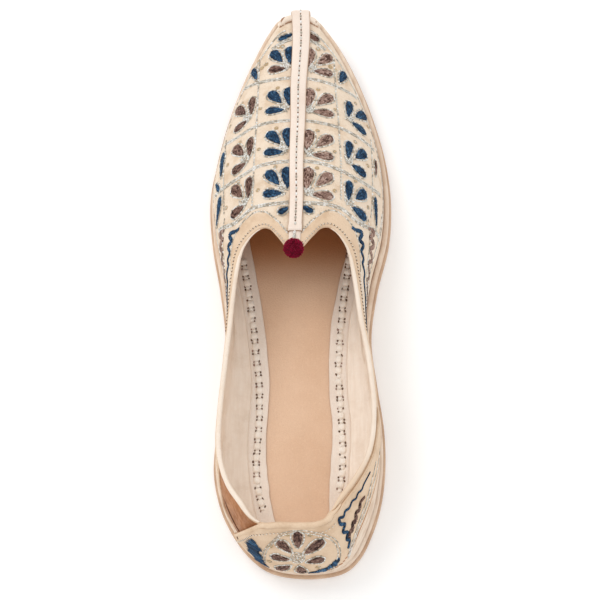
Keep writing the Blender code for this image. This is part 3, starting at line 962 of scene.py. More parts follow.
def from_above(place):
    """Point and normal of the skin over a place in plan, given in millimetres."""
    spot = Vector((place[0] * MM, place[1] * MM, 0.12))
    hit, normal, _, _ = SKIN.ray_cast(spot, Vector((0, 0, -1)))
    if hit is None:
        hit, normal, _, _ = SKIN.find_nearest(Vector((place[0] * MM, place[1] * MM, 0.02)))
    return hit, normal if normal.z > 0 else -normal


def on_rib(place):
    """Point and normal of the skin at a turn in degrees and a climb."""
    turn, climb = math.radians(place[0]), place[1]
    base = upper_face(turn, climb)
    normal = face_normal(turn, climb)
    hit, _, _, _ = SKIN.ray_cast(base + normal * REACH, -normal, 2 * REACH)
    return (hit or base), normal


def from_edge(place):
    """Point and normal of the skin at a turn in degrees and a distance under the edge in mm."""
    turn = math.radians(place[0]) % (2 * math.pi)
    place_row = turn / (2 * math.pi) * TURNS
    low = int(place_row) % TURNS
    share = place_row - int(place_row)
    climbs = np.linspace(0, 1, CLIMBS + 1)
    found = [
        float(np.interp(place[1] * MM, EDGE_DISTANCES[row][::-1], climbs[::-1]))
        for row in (low, (low + 1) % TURNS)
    ]
    return on_rib((place[0], found[0] * (1 - share) + found[1] * share))


# Thread work.
class Thread:
    """Growing mesh of small spindle-shaped stitches. Each stitch takes one of the thread's shades
    by its share, and the last look is for the padding under them. In the blue, brown, mauve
    and silver threads the darker shades are painted shade and the lighter ones painted highlights."""

    def __init__(self, looks, shares=(1.0,), sides=6):
        self.looks, self.shares, self.sides = looks, shares, sides
        self.points, self.faces, self.face_looks = [], [], []

    def pick(self):
        chance = draw.random() * sum(self.shares)
        for number, share in enumerate(self.shares):
            chance -= share
            if chance < 0:
                return number
        return 0

    def stitch(self, start, end, normal, width, height=None, sink=0.15):
        height = height or width * 0.7
        run = end - start
        length = run.length
        if length < 1e-6:
            return
        run = run / length
        across = run.cross(normal)
        if across.length < 1e-6:
            return
        across.normalize()
        over = across.cross(run)
        first = len(self.points)
        lift = over * height * (0.5 - sink)
        self.points.append(start + lift * 0.3)
        for share, full in ((0.2, 0.86), (0.5, 1.0), (0.8, 0.8)):
            centre = start + run * length * share + lift
            for side in range(self.sides):
                swing = 2 * math.pi * side / self.sides
                self.points.append(
                    centre
                    + across * math.cos(swing) * width / 2 * full
                    + over * math.sin(swing) * height / 2 * full
                )
        self.points.append(end + lift * 0.3)
        last = len(self.points) - 1
        faces = []
        for side in range(self.sides):
            after = (side + 1) % self.sides
            faces.append((first, first + 1 + after, first + 1 + side))
            for ring in range(2):
                low = first + 1 + ring * self.sides
                high = low + self.sides
                faces.append((low + side, low + after, high + after, high + side))
            high = first + 1 + 2 * self.sides
            faces.append((high + side, high + after, last))
        self.faces += faces
        self.face_looks += [self.pick()] * len(faces)

    def pad(self, centre_line, halves, rise):
        """Low domed leaf under a group of stitches, in the thread's last look: a darker shade that is
        painted shade between the stitches.
        """
        across_steps = 6
        first = len(self.points)
        for (point, normal, side), half in zip(centre_line, halves):
            for step in range(across_steps + 1):
                share = 2 * step / across_steps - 1
                dome = rise * math.sqrt(max(1 - share * share, 0.0))
                self.points.append(point + side * half * share + normal * (dome - 0.12 * MM))
        faces = grid_faces(len(centre_line), across_steps + 1, start=first, flip=True)
        self.faces += faces
        self.face_looks += [len(self.looks) - 1] * len(faces)

    def piece(self, name, slot=None):
        return new_piece(name, self.points, self.faces, self.looks, face_looks=self.face_looks)


def silver_thread():
    """Bright metal thread with some grey stitches, which are painted shade, and some glinting ones, which
    are painted highlights.
    """
    return Thread((SILVER, GLINT, SILVER_SHADE), (0.42, 0.28, 0.30))


def shaded_silver_thread():
    """The same thread with mostly grey stitches: more painted shade and fewer painted glints."""
    return Thread((SILVER_SHADE, SILVER, GLINT), (0.55, 0.35, 0.10))


def spline(points, steps=8):
    """Smooth line through chart places."""
    points = [Vector(point) for point in points]
    if len(points) < 3:
        return [points[0].lerp(points[-1], step / (2 * steps)) for step in range(2 * steps + 1)]
    line = []
    for index in range(len(points) - 1):
        before = points[max(index - 1, 0)]
        start, end = points[index], points[index + 1]
        after = points[min(index + 2, len(points) - 1)]
        slope_in, slope_out = (end - before) / 2, (after - start) / 2
        line += [ease(start, end, slope_in, slope_out, step / steps) for step in range(steps)]
    line.append(points[-1])
    return line


def laid(chart, place, steps=8):
    """Chart line put on the skin: points with normals."""
    return [place(spot) for spot in spline(chart, steps)]


def even(line, pitch):
    """The same line with points an even pitch apart."""
    lengths = [0.0]
    for (here, _), (there, _) in zip(line, line[1:]):
        lengths.append(lengths[-1] + (there - here).length)
    count = max(int(round(lengths[-1] / pitch)), 1)
    spots, index = [], 0
    for step in range(count + 1):
        goal = lengths[-1] * step / count
        while index < len(lengths) - 2 and lengths[index + 1] < goal:
            index += 1
        span = lengths[index + 1] - lengths[index] or 1.0
        share = (goal - lengths[index]) / span
        point = line[index][0].lerp(line[index + 1][0], share)
        normal = line[index][1].lerp(line[index + 1][1], share).normalized()
        spots.append((point, normal))
    return spots


def with_sides(line):
    """Adds to each point of a line the direction across it."""
    out = []
    for index, (point, normal) in enumerate(line):
        run = line[min(index + 1, len(line) - 1)][0] - line[max(index - 1, 0)][0]
        side = run.cross(normal)
        side = side.normalized() if side.length > 1e-9 else Vector((1, 0, 0))
        out.append((point, normal, side))
    return out


def jitter(amount):
    return draw.uniform(-amount, amount)


def chain_line(work, line, pitch, width, offset=0.0, wander=0.0):
    """Row of chain stitch: pairs of strands that meet at each link."""
    spots = with_sides(even(line, pitch))
    for here, there in zip(spots, spots[1:]):
        start = here[0] + here[2] * (offset + jitter(wander))
        end = there[0] + there[2] * offset
        over = (end - start) * 0.28
        for hand in (-1, 1):
            aside = here[2] * width * 0.42 * hand
            work.stitch(start + aside * 0.3 - over * 0.4, end + aside + over * 0.2, here[1], width * 0.62)


def running_line(work, line, pitch, length, width, offset=0.0, wander=0.0, sink=0.15):
    """Row of single stitches with gaps between them."""
    spots = with_sides(even(line, pitch))
    for here, there in zip(spots, spots[1:]):
        run = (there[0] - here[0]).normalized()
        start = here[0] + here[2] * (offset + jitter(wander))
        end = start + run * length + here[2] * jitter(wander)
        work.stitch(start, end, here[1], width, sink=sink)


def petal_half(share):
    """Half width of a petal from its tip to its round head, as a share of the widest place."""
    return max(math.sin(math.pi * min(max(share, 0.0), 1.0) ** 1.8), 0.0) ** 0.62


def petal_spot(sided, half, share, across):
    """Place at a share of a petal's length and of its half width, a little unsteady."""
    count = len(sided) - 1
    index = min(int(share * count), count - 1)
    part = share * count - index
    point = sided[index][0].lerp(sided[index + 1][0], part)
    side = sided[index][2].lerp(sided[index + 1][2], part)
    return point + side * (half * petal_half(share) * 0.92 * across + jitter(0.1 * MM))


PETAL_ROW = 0.66 * MM
PETAL_STITCH = 1.15 * MM


def fill_petal(work, tip, head, half, place):
    """Petal filled with rows of chain stitch that fan out from its tip. Gives its middle line."""
    tip, head = Vector(tip), Vector(head)
    line = laid((tip, (tip + head) / 2, head), place, steps=6)
    sided = with_sides(line)
    count = len(line) - 1
    work.pad(sided, [half * petal_half(index / count) * 1.02 for index in range(count + 1)], 0.2 * MM)
    rows = max(int(round(half / PETAL_ROW)), 1)
    length = sum((a[0] - b[0]).length for a, b in zip(line, line[1:]))
    steps = max(int(length / PETAL_STITCH), 3)
    for row in range(-rows, rows + 1):
        first = 0.02 + 0.10 * abs(row) / rows + draw.uniform(0.0, 0.07)
        last = draw.uniform(0.93, 1.0)
        for step in range(steps):
            low = first + (last - first) * step / steps
            high = min(low + 1.35 * (last - first) / steps, 1.0)
            start, end = (petal_spot(sided, half, share, row / rows) for share in (low, high))
            _, normal, side = sided[min(int(low * count), count)]
            round_top = math.sqrt(max(1 - (row / (rows + 0.6)) ** 2, 0.0))
            dome = normal * (0.24 * MM * round_top + jitter(0.06 * MM))
            lean = side * 0.17 * MM * (1 if step % 2 else -1)
            work.stitch(start + dome - lean, end + dome + lean, normal, 0.64 * MM, 0.5 * MM)
    return line


def ring_petal(work, line, half, room=0.85 * MM, pitch=0.95 * MM, width=0.78 * MM):
    """Silver outline round a petal."""
    sided = with_sides(line)
    count = len(line) - 1
    run_in = (line[0][0] - line[1][0]).normalized()
    run_out = (line[-1][0] - line[-2][0]).normalized()
    left, right = [], []
    for index, (point, normal, side) in enumerate(sided):
        reach = half * petal_half(index / count) + room
        left.append((point + side * reach, normal))
        right.append((point - side * reach, normal))
    tip = [(line[0][0] + run_in * room, line[0][1])]
    head = [(line[-1][0] + run_out * room * 0.9, line[-1][1])]
    loop = tip + left[1:] + head + right[:0:-1] + tip
    settled = []
    for point, normal in loop:
        hit, _, _, _ = SKIN.ray_cast(point + normal * REACH, -normal, 2 * REACH)
        settled.append((hit or point, normal))
    running_line(work, settled, pitch, pitch * 1.1, width, wander=0.14 * MM)


def small_ring(work, centre, place, radius=0.8):
    """Little ring of thread, as couched round a sequin."""
    point, normal = place(centre)
    across = normal.cross(Vector((0, 1, 0))).normalized()
    other = normal.cross(across)
    count = 9
    spots = [
        point + (across * math.cos(a) + other * math.sin(a)) * radius * MM
        for a in (2 * math.pi * step / count for step in range(count))
    ]
    for index in range(count):
        work.stitch(spots[index], spots[(index + 1) % count], normal, 0.66 * MM, 0.4 * MM)
    work.stitch(point - across * 0.7 * MM, point + across * 0.7 * MM, normal, 1.1 * MM, 0.3 * MM)


def thread_tuft(work, centre, place, radius, count, lean=(0.0, 1.0)):
    """Crowd of short silver stitches at the root of a flower."""
    lean = Vector(lean).normalized()
    for _ in range(count):
        reach = radius * math.sqrt(draw.random())
        swing = draw.uniform(0, 2 * math.pi)
        spot = Vector((centre[0] + reach * math.cos(swing), centre[1] + 1.25 * reach * math.sin(swing)))
        aim = lean.copy()
        aim.rotate(Matrix.Rotation(draw.uniform(-0.9, 0.9), 2))
        far = spot + aim * draw.uniform(0.7, 1.3)
        start, normal = place(spot)
        end, _ = place(far)
        rise = draw.uniform(0.05, 0.35) * MM
        work.stitch(start + normal * 0.1 * MM, end + normal * rise, normal, 0.5 * MM)


# Chart of the vamp's embroidery, in millimetres.
CENTRE_ROOTS = {-1: (101.3, 75.5, 50.3, 27.9), 1: (99.6, 74.0, 48.4, 27.0)}
SIDE_ROOTS = {-1: (74.5, 48.8, 26.2), 1: (74.0, 48.4, 26.0)}
# Tip and head of each petal from its flower's root, and its half width.
CENTRE_PETALS = {
    -1: (
        ((-3.7, 2.4), (-4.2, 14.0), 2.5),
        ((-7.4, 4.6), (-13.1, 12.6), 2.5),
        ((-5.6, 0.0), (-14.6, 0.9), 2.1),
    ),
    1: (
        ((4.6, 2.6), (5.6, 14.6), 2.6),
        ((9.0, 5.0), (15.8, 11.9), 2.4),
        ((7.0, 0.4), (16.5, 0.0), 2.1),
    ),
}
SIDE_PETALS = {
    -1: (
        ((-21.5, 1.8), (-21.2, 12.9), 1.6),
        ((-24.3, 3.4), (-29.0, 10.4), 2.4),
        ((-23.0, -1.4), (-29.4, -4.6), 2.2),
    ),
    1: (
        ((23.0, 0.4), (23.8, 11.2), 1.9),
        ((26.4, 2.6), (31.0, 8.6), 2.5),
        ((24.6, -2.0), (31.0, -4.9), 2.4),
    ),
}
# Petals that stand alone: tip, head, half width, colour.
LONE_PETALS = (
    ((-19.5, 98.0), (-21.8, 106.6), 1.6, "blue"),
    ((19.3, 95.6), (21.4, 103.4), 1.9, "blue"),
    ((-35.0, 45.6), (-34.4, 60.0), 1.7, "blue"),
    ((-37.6, 44.4), (-35.6, 38.8), 1.1, "blue"),
    ((-37.0, 23.6), (-35.0, 35.4), 1.9, "blue"),
    ((35.4, 47.4), (35.5, 56.6), 0.8, "brown"),
    ((35.5, 21.6), (35.1, 35.4), 1.6, "blue"),
    ((-2.4, 121.4), (-9.4, 119.2), 1.2, "blue"),
    ((3.4, 122.0), (9.2, 118.2), 1.4, "brown"),
    ((-3.0, 20.6), (-7.6, 17.8), 1.5, "blue"),
    ((2.8, 21.0), (7.6, 18.2), 1.5, "blue"),
)
SILVER_BANDS = (
    ((-12.6, 114.4), (-7.0, 117.6), (0.0, 118.9), (7.0, 117.2), (12.6, 113.6)),
    ((-29.0, 97.2), (-24.0, 96.1), (-12.0, 95.6), (0.0, 95.4), (10.0, 94.2), (20.0, 92.1), (27.0, 90.4)),
    ((-34.5, 65.5), (-31.0, 64.6), (-27.0, 65.0), (-22.6, 66.9), (-18.5, 68.1), (-12.8, 68.8), (0.0, 69.0)),
    ((0.0, 69.0), (7.0, 68.3), (12.5, 67.6), (19.6, 66.5), (26.0, 64.7), (30.6, 63.5), (35.0, 62.6)),
    ((-38.4, 38.8), (-33.0, 38.7), (-27.5, 39.9), (-22.4, 41.9), (-18.3, 43.7), (-12.2, 44.7), (0.0, 45.3)),
    ((0.0, 45.3), (6.0, 45.0), (13.2, 43.8), (20.1, 41.8), (26.0, 39.9), (32.0, 38.9), (37.5, 39.4)),
    ((-36.0, 20.5), (-29.5, 17.6), (-25.5, 18.4), (-20.0, 22.0), (-14.8, 22.8), (-9.8, 22.9), (-3.0, 23.2)),
    ((3.0, 23.0), (9.8, 22.8), (14.8, 22.6), (20.5, 21.6), (26.0, 18.2), (30.0, 17.4), (36.5, 20.0)),
)
DASHED_LINES = (
    ((-18.4, 111.0), (-18.5, 92.0), (-18.6, 74.0), (-19.1, 48.0), (-19.5, 23.0)),
    ((16.5, 109.5), (17.6, 88.0), (18.7, 73.0), (19.5, 58.0), (20.1, 44.0), (20.1, 26.0)),
    ((-33.4, 68.0), (-33.8, 52.0), (-33.4, 36.0), (-33.0, 25.0)),
    ((33.4, 68.0), (34.0, 52.0), (34.0, 36.0), (33.2, 23.0)),
)
LONE_RINGS = ((-7.6, 114.9), (-15.3, 106.3), (9.1, 113.5), (14.8, 103.9), (-19.0, 110.2))


def silver_band(work, dull, line):
    """Double row of chain stitch with a greyer thread between, mostly painted shade."""
    chain_line(work, line, 1.3 * MM, 0.78 * MM, offset=0.56 * MM, wander=0.08 * MM)
    chain_line(work, line, 1.3 * MM, 0.78 * MM, offset=-0.56 * MM, wander=0.08 * MM)
    running_line(dull, line, 1.5 * MM, 0.9 * MM, 0.34 * MM, wander=0.1 * MM, sink=0.3)


def ringed_petal(work, outline, tip, head, half, place, room=0.85 * MM):
    """Filled petal with its silver outline."""
    line = fill_petal(work, tip, head, half, place)
    ring_petal(outline, line, half, room)


def embroider_centre_flower(threads, side, number, root):
    """Half flower of three petals beside the strip. The rearmost row's number is the highest."""
    silver, dull, ring = threads["silver"], threads["dull"], threads["ring"]
    grow = 0.93 if number == 0 else 1.0
    for petal, (tip, head, half) in enumerate(CENTRE_PETALS[side]):
        near = (tip[0], tip[1] * grow + root)
        far = (tip[0] + (head[0] - tip[0]) * grow, head[1] * grow + root)
        colour = "blue" if side < 0 else "mauve"
        if side < 0 and number == 0 and petal == 2:
            colour = "brown"
        ringed_petal(threads[colour], silver, near, far, half * grow * MM, from_above)
    thread_tuft(silver, (side * 5.9, root + 1.9), from_above, 2.3, 60, lean=(side * 0.6, 1.0))
    thread_tuft(dull, (side * 5.4, root + 0.9), from_above, 2.0, 18, lean=(side * 1.0, 0.4))
    ahead = 14.6 * (0.95 if number == 0 else 1.0)
    small_ring(ring, (side * 9.4, root + ahead), from_above)
    small_ring(ring, (side * 17.2, root + 3.4), from_above)


def embroider_side_flower(threads, side, root):
    """Flower of three petals on the vamp's flank."""
    silver, dull, ring = threads["silver"], threads["dull"], threads["ring"]
    work = threads["brown" if side < 0 else "blue"]
    for tip, head, half in SIDE_PETALS[side]:
        near, far = (tip[0], tip[1] + root), (head[0], head[1] + root)
        ringed_petal(work, silver, near, far, half * MM, from_above)
    thread_tuft(silver, (side * 23.4, root + 0.6), from_above, 2.2, 55, lean=(0.0, 1.0))
    thread_tuft(dull, (side * 23.2, root - 0.6), from_above, 1.6, 14, lean=(side * 1.0, 0.2))
    small_ring(ring, (side * 26.4, root + 12.2), from_above, 0.85)
    small_ring(ring, (side * 32.0, root + 1.6), from_above, 0.85)


def embroider_vamp(threads):
    """Rows of flowers either side of the strip, with silver bands and dashed lines between."""
    silver, dull = threads["silver"], threads["dull"]
    for side in (-1, 1):
        for number, root in enumerate(CENTRE_ROOTS[side]):
            embroider_centre_flower(threads, side, number, root)
        for root in SIDE_ROOTS[side]:
            embroider_side_flower(threads, side, root)
    for tip, head, half, colour in LONE_PETALS:
        ringed_petal(threads[colour], dull, tip, head, half * MM, from_above)
    for spot in LONE_RINGS:
        small_ring(threads["ring"], spot, from_above, 1.0)
    for chart in SILVER_BANDS:
        silver_band(silver, dull, laid(chart, from_above))
    for chart in DASHED_LINES:
        line = laid(chart, from_above)
        running_line(silver, line, 1.7 * MM, 1.4 * MM, 0.8 * MM, wander=0.08 * MM)
        running_line(dull, line, 1.9 * MM, 1.5 * MM, 0.4 * MM, offset=0.45 * MM, wander=0.1 * MM)


def side_turn(side, degrees):
    """Turn on the outer side, or its mirror image on the inner one."""
    return degrees if side < 0 else 360 - degrees


def embroider_edges(threads):
    """Silver line inside the feather line, and the one under the collar band."""
    silver, dull = threads["silver"], threads["dull"]
    for side in (-1, 1):
        ribs = [(side_turn(side, degrees), 0.14) for degrees in range(98, 174, 3)]
        chain_line(silver, laid(ribs, on_rib, 2), 1.4 * MM, 0.85 * MM, wander=0.08 * MM)
        band = [(side_turn(side, d), band_width(math.radians(d)) / MM + 0.7) for d in range(62, 172, 3)]
        line = laid(band, from_edge, 3)
        running_line(silver, line, 1.15 * MM, 1.2 * MM, 0.6 * MM, wander=0.08 * MM)
        running_line(dull, line, 1.4 * MM, 0.9 * MM, 0.4 * MM, offset=0.5 * MM * side, wander=0.08 * MM)


def waver(threads, colour, chart, place, widths, ragged=0.0):
    """Wavy line of satin stitch whose width swells on each slope."""
    line = laid(chart, place, steps=5)
    spots = with_sides(even(line, (0.42 + ragged) * MM))
    count = len(spots) - 1
    halves = []
    for index in range(count + 1):
        share = index / count * (len(widths) - 1)
        low = min(int(share), len(widths) - 2)
        halves.append((widths[low] + (widths[low + 1] - widths[low]) * (share - low)) * MM / 2)
    threads[colour].pad(spots, [half * (0.95 - ragged) for half in halves], 0.2 * MM)
    for (point, normal, side), half in zip(spots, halves):
        run = side.cross(normal) * (0.35 + 2.0 * ragged) * MM
        start = point - side * half * draw.uniform(0.95 - ragged, 1.1 + ragged) - run
        end = point + side * half * draw.uniform(0.95 - ragged, 1.1 + ragged) + run
        lift = normal * 0.1 * MM
        threads[colour].stitch(start + lift, end + lift, normal, (0.5 + 1.6 * ragged) * MM, 0.45 * MM)


# Waves of satin stitch: colour, places by turn and climb, and widths in millimetres along them.
QUARTER_WAVES = (
    ("blue", (
        (103.6, 0.88), (101.5, 0.84), (100, 0.77), (98.8, 0.735), (97, 0.80), (95, 0.70),
        (93, 0.75), (91, 0.65), (89.3, 0.69), (87.5, 0.57), (85.5, 0.62), (83.5, 0.53),
        (81, 0.58), (78, 0.50), (75, 0.54), (71, 0.50),
    ), (1.9, 2.5, 2.2, 1.8, 1.8, 1.7, 1.4, 1.3, 1.1, 0.7)),
    ("mauve", (
        (100, 0.60), (98.6, 0.43), (97.4, 0.55), (95.8, 0.35), (94.4, 0.48), (92.8, 0.29),
        (91.2, 0.43), (89.2, 0.27), (87.4, 0.39), (85.4, 0.27), (83, 0.34),
    ), (1.9, 2.6, 2.5, 2.4, 2.1, 1.8, 1.5, 1.1)),
)
HEEL_WAVES = (
    ("blue", (
        (316, 0.87), (320, 0.88), (322, 0.85), (324, 0.89), (326, 0.86), (328, 0.90), (331, 0.87),
        (334, 0.91), (337, 0.88), (340, 0.92), (341.5, 0.84), (339, 0.77), (342.6, 0.71),
        (340, 0.63), (342.5, 0.56), (341, 0.48), (344, 0.40),
    ), (0.7, 0.8, 1.2, 1.1, 1.4, 1.5, 1.9, 2.0, 1.7, 1.9, 1.8)),
    ("brown", (
        (323, 0.66), (325.6, 0.70), (327.6, 0.62), (330, 0.67), (331.8, 0.57), (334.4, 0.63),
        (336, 0.54), (338.6, 0.59), (341, 0.50),
    ), (1.6, 2.8, 2.2, 3.0, 2.4, 2.7, 1.8)),
)
COUNTER_LINES = (
    ((312, 0.76), (316, 0.66), (321, 0.56), (327, 0.50), (334, 0.44), (341, 0.38), (346, 0.26)),
    ((308, 0.62), (314, 0.52), (320, 0.46), (327, 0.42), (334, 0.38), (341, 0.32), (346, 0.21)),
)
# The counter's rosette: its eye, each petal's tip, head and half width, its ring, and its dots.
ROSETTE_EYE = (2.8, 0.48)
ROSETTE_PETALS = (
    ((2.8, 0.70), (3.0, 0.95), 2.0),
    ((0.8, 0.59), (354.5, 0.81), 2.2),
    ((4.8, 0.61), (9.4, 0.80), 2.0),
    ((0.1, 0.42), (355.0, 0.47), 2.1),
    ((5.1, 0.46), (11.2, 0.48), 2.0),
    ((5.0, 0.32), (8.9, 0.14), 1.9),
    ((2.4, 0.32), (1.6, 0.12), 2.1),
)
ROSETTE_RING = (
    (14.2, 0.22), (14.6, 0.40), (14.2, 0.60), (12.2, 0.78), (8.4, 0.92), (3.0, 0.97), (357.0, 0.94),
    (352.4, 0.84), (349.4, 0.69), (348.8, 0.50), (350.4, 0.30), (353.5, 0.14),
)
ROSETTE_DOTS = ((6.6, 0.90), (358.4, 0.90), (12.3, 0.68), (11.7, 0.33), (357.0, 0.28))


def unwrapped(chart):
    """Chart with its turns counted on from one side of the heel's back to the other."""
    return [(turn - 360 if turn > 180 else turn, climb) for turn, climb in chart]


def nearer(chart, share):
    """Chart moved towards the rosette's eye by a share."""
    return [
        (turn + (ROSETTE_EYE[0] - turn) * share, climb + (ROSETTE_EYE[1] + 0.1 - climb) * share)
        for turn, climb in chart
    ]


def embroider_sides(threads):
    """Waves on the quarters and on the counter's inner side, with silver lines."""
    silver = threads["silver"]
    for colour, chart, widths in HEEL_WAVES:
        waver(threads, colour, chart, on_rib, widths)
    for side in (-1, 1):
        for colour, chart, widths in QUARTER_WAVES:
            turned = [(side_turn(side, turn), climb) for turn, climb in chart]
            waver(threads, colour, turned, on_rib, widths)
        degrees = range(104, 68, -3)
        chart = [(side_turn(side, d), 0.62 - 0.012 * (104 - d)) for d in degrees]
        running_line(silver, laid(chart, on_rib, 3), 1.5 * MM, 1.35 * MM, 0.75 * MM, wander=0.08 * MM)
        chart = [(side_turn(side, d), 0.20 + 0.002 * (104 - d)) for d in degrees]
        chain_line(silver, laid(chart, on_rib, 3), 1.4 * MM, 0.8 * MM, wander=0.08 * MM)
    for chart in COUNTER_LINES:
        chain_line(silver, laid(chart, on_rib), 1.4 * MM, 0.8 * MM, wander=0.08 * MM)


def embroider_rosette(threads):
    """Seven petals round a silver eye, inside a double silver ring."""
    silver, dull = threads["silver"], threads["dull"]
    for tip, head, half in ROSETTE_PETALS:
        tip, head = unwrapped((tip, head))
        ringed_petal(threads["brown"], silver, tip, head, half * MM, on_rib, room=0.95 * MM)
    for spot in unwrapped(ROSETTE_DOTS):
        small_ring(threads["ring"], spot, on_rib, 0.95)
    for ring in range(4):
        chart = []
        for step in range(13):
            swing = 2 * math.pi * step / 12
            chart.append((
                ROSETTE_EYE[0] + math.sin(swing) * (0.3 + 0.62 * ring),
                ROSETTE_EYE[1] + 0.02 + math.cos(swing) * (0.02 + 0.03 * ring),
            ))
        running_line(silver, laid(chart, on_rib, 2), 0.9 * MM, 1.1 * MM, 0.6 * MM, wander=0.2 * MM)
    for share in (0.0, 0.085):
        line = laid(nearer(unwrapped(ROSETTE_RING), share), on_rib, 4)
        running_line(silver if share else dull, line, 1.1 * MM, 1.15 * MM, 0.6 * MM, wander=0.1 * MM)


# Ragged satin either side of the rosette: places by turn and climb, and widths in millimetres.
BLUE_PATCHES = (
    (
        ((19.4, 0.72), (18.8, 0.60), (18.2, 0.47), (17.2, 0.34), (15.6, 0.22), (12.6, 0.10)),
        (2.6, 7.4, 7.0, 6.6, 4.4, 0.9),
    ),
    (
        ((-9.6, 0.36), (-8.0, 0.29), (-6.2, 0.23), (-3.6, 0.17), (-0.4, 0.12)),
        (1.8, 4.6, 3.6, 3.8, 1.2),
    ),
)


def embroider_patches(threads):
    """Ragged blue satin either side of the rosette."""
    for chart, widths in BLUE_PATCHES:
        waver(threads, "blue", chart, on_rib, widths, ragged=0.3)


def make_embroidery():
    """All the thread work, one piece for each colour of thread."""
    threads = {
        # The darker shade of each coloured thread is painted shade, in its stitches and in its padding; the
        # lighter one is a painted highlight.
        "blue": Thread((BLUE, BLUE_PAINTED_LIGHT, BLUE_PAINTED_SHADE, BLUE_PAINTED_SHADE), (0.52, 0.2, 0.28)),
        "brown": Thread((BROWN, BROWN_PAINTED_LIGHT, BROWN_PAINTED_SHADE, BROWN_PAINTED_SHADE), (0.52, 0.2, 0.28)),
        "mauve": Thread((MAUVE, MAUVE_PAINTED_LIGHT, MAUVE_PAINTED_SHADE, MAUVE_PAINTED_SHADE), (0.52, 0.2, 0.28)),
        "silver": silver_thread(),
        "dull": shaded_silver_thread(),
        "ring": Thread((RING_THREAD, SILVER_SHADE, SILVER), (0.8, 0.1, 0.1)),
    }
    embroider_vamp(threads)
    embroider_edges(threads)
    embroider_sides(threads)
    embroider_rosette(threads)
    embroider_patches(threads)
    for name, work in threads.items():
        work.piece("embroidery_" + name)


# Seams, piping and counter.
def topline_centre(turn, radius):
    """Middle of a cord that lies on the wall's edge."""
    edge = offset_face(turn, 1.0, wall_depth(turn) / 2)
    rising = (upper_face(turn, 1.0) - upper_face(turn, 0.96)).normalized()
    return edge + rising * (radius + GAP)


PIPING_STEPS = 150
PIPING_FRONT = 118


def make_piping(name, side, back):
    """Round cord on the wall's edge, from a turn in degrees behind to the throat, tapered at its ends."""
    line, radii = [], []
    for step in range(PIPING_STEPS + 1):
        degrees = back + (PIPING_FRONT - back) * step / PIPING_STEPS
        angle = math.radians(degrees)
        fade = smoothstep(72, 112, degrees)
        radius = PIPING_RADIUS + (0.45 * PIPING_TIP_RADIUS - PIPING_RADIUS) * fade
        radius *= 0.3 + 0.7 * smoothstep(-2.0, 13.0, degrees - back)
        line.append(topline_centre(angle if side < 0 else -angle, radius))
        radii.append(radius * (1 + 0.03 * math.sin(61 * angle) + 0.02 * math.sin(113 * angle)))
    points, faces = round_tube(line, radii)
    new_piece(name + "_leather", points, faces, CREAM if side < 0 else FADING, (name,))


CREAM_STRIP_LEVELS = 10.5


def counter_look(step, level):
    """Sand leather, dyed along its foot; on the inner side a cream strip shows under a dyed line."""
    if level >= COUNTER_LEVELS:
        return 1 if level == 2 * COUNTER_LEVELS + 1 else 0
    turn = math.degrees(counter_turn((step + 0.5) / COUNTER_COUNT, counter_climb(level)))
    strip = CREAM_STRIP_LEVELS * smoothstep(4, -20, turn)
    if level + 1 < strip:
        return 2
    if level < strip:
        return 3
    return 1 if level == 0 else 0


RIM_CLIMBS = (0.06, 0.22, 0.4, 0.58, 0.75, 0.88)
RIM_OUT = 0.3 * MM
RIM_LIFT = 0.45 * MM


def make_counter():
    """Heel counter, and the rim that goes up its free edge and round the heel's back."""
    points, faces = loft(COUNTER_ROWS)
    columns = len(COUNTER_ROWS[0])
    looks = [counter_look(*divmod(number, columns)) for number in range(COUNTER_COUNT * columns)]
    looks += [0] * (len(faces) - len(looks))
    finishes = [COLLAR, EDGE_DYE_AND_SHADOW, RAND, BARE]
    new_piece("heel_counter_leather", points, faces, finishes, ("heel_counter",), looks)
    free_edge = [
        offset_face(counter_turn(0.0, climb), climb, -GAP - 0.55 * COUNTER_THICK) for climb in RIM_CLIMBS
    ]
    top = [
        offset_face(math.radians(degrees), 1.0, -RIM_OUT) + Vector((0.0, 0.0, RIM_LIFT))
        for degrees in range(18, -30, -3)
    ]
    line = spline(free_edge + top, 6)
    radii = []
    for number in range(len(line)):
        share = number / (len(line) - 1)
        full = smoothstep(-0.25, 0.42, share) * (1 - 0.9 * smoothstep(0.76, 1.0, share))
        radii.append(RIM_RADIUS * (0.25 + 0.75 * full) * (1 + 0.03 * math.sin(61 * share)))
    points, faces = round_tube(line, radii)
    new_piece("counter_rim_leather", points, faces, COLLAR, ("counter_rim",))


CORD_RADIUS = 0.5 * MM
CORD_TURNS = (30.5, 32, 34, 36, 38, 40, 42, 44, 45.5, 46.8)
FOLD_CHART = ((39.5, 0.62), (37, 0.60), (34, 0.55), (31, 0.50), (28, 0.45), (25.5, 0.42))
FREE_END_CLIMBS = (0.14, 0.3, 0.45, 0.6, 0.74, 0.85)
PRICK_CLIMB = 0.915
PRICK_PITCH = 1.6 * MM


def make_bare_leather():
    """Folded cord along the quarter's edge, and beside it a dark tube along the fold in the bare leather,
    painted shadow of that fold.
    """
    edge = spline([on_rib((turn, lens_foot(math.radians(turn))))[0] for turn in CORD_TURNS], 5)
    points, faces = round_tube(edge, [CORD_RADIUS] * len(edge), 8)
    new_piece("quarter_folded_edge", points, faces, COLLAR)
    fold = [point - normal * 0.15 * MM for point, normal in laid(FOLD_CHART, on_rib, 6)]
    radii = [(0.15 + 0.4 * smoothstep(0, 12, step)) * MM for step in range(len(fold))]
    points, faces = round_tube(fold, radii, 8)
    new_piece("bare_leather_fold", points, faces, FOLD_SHADOW)


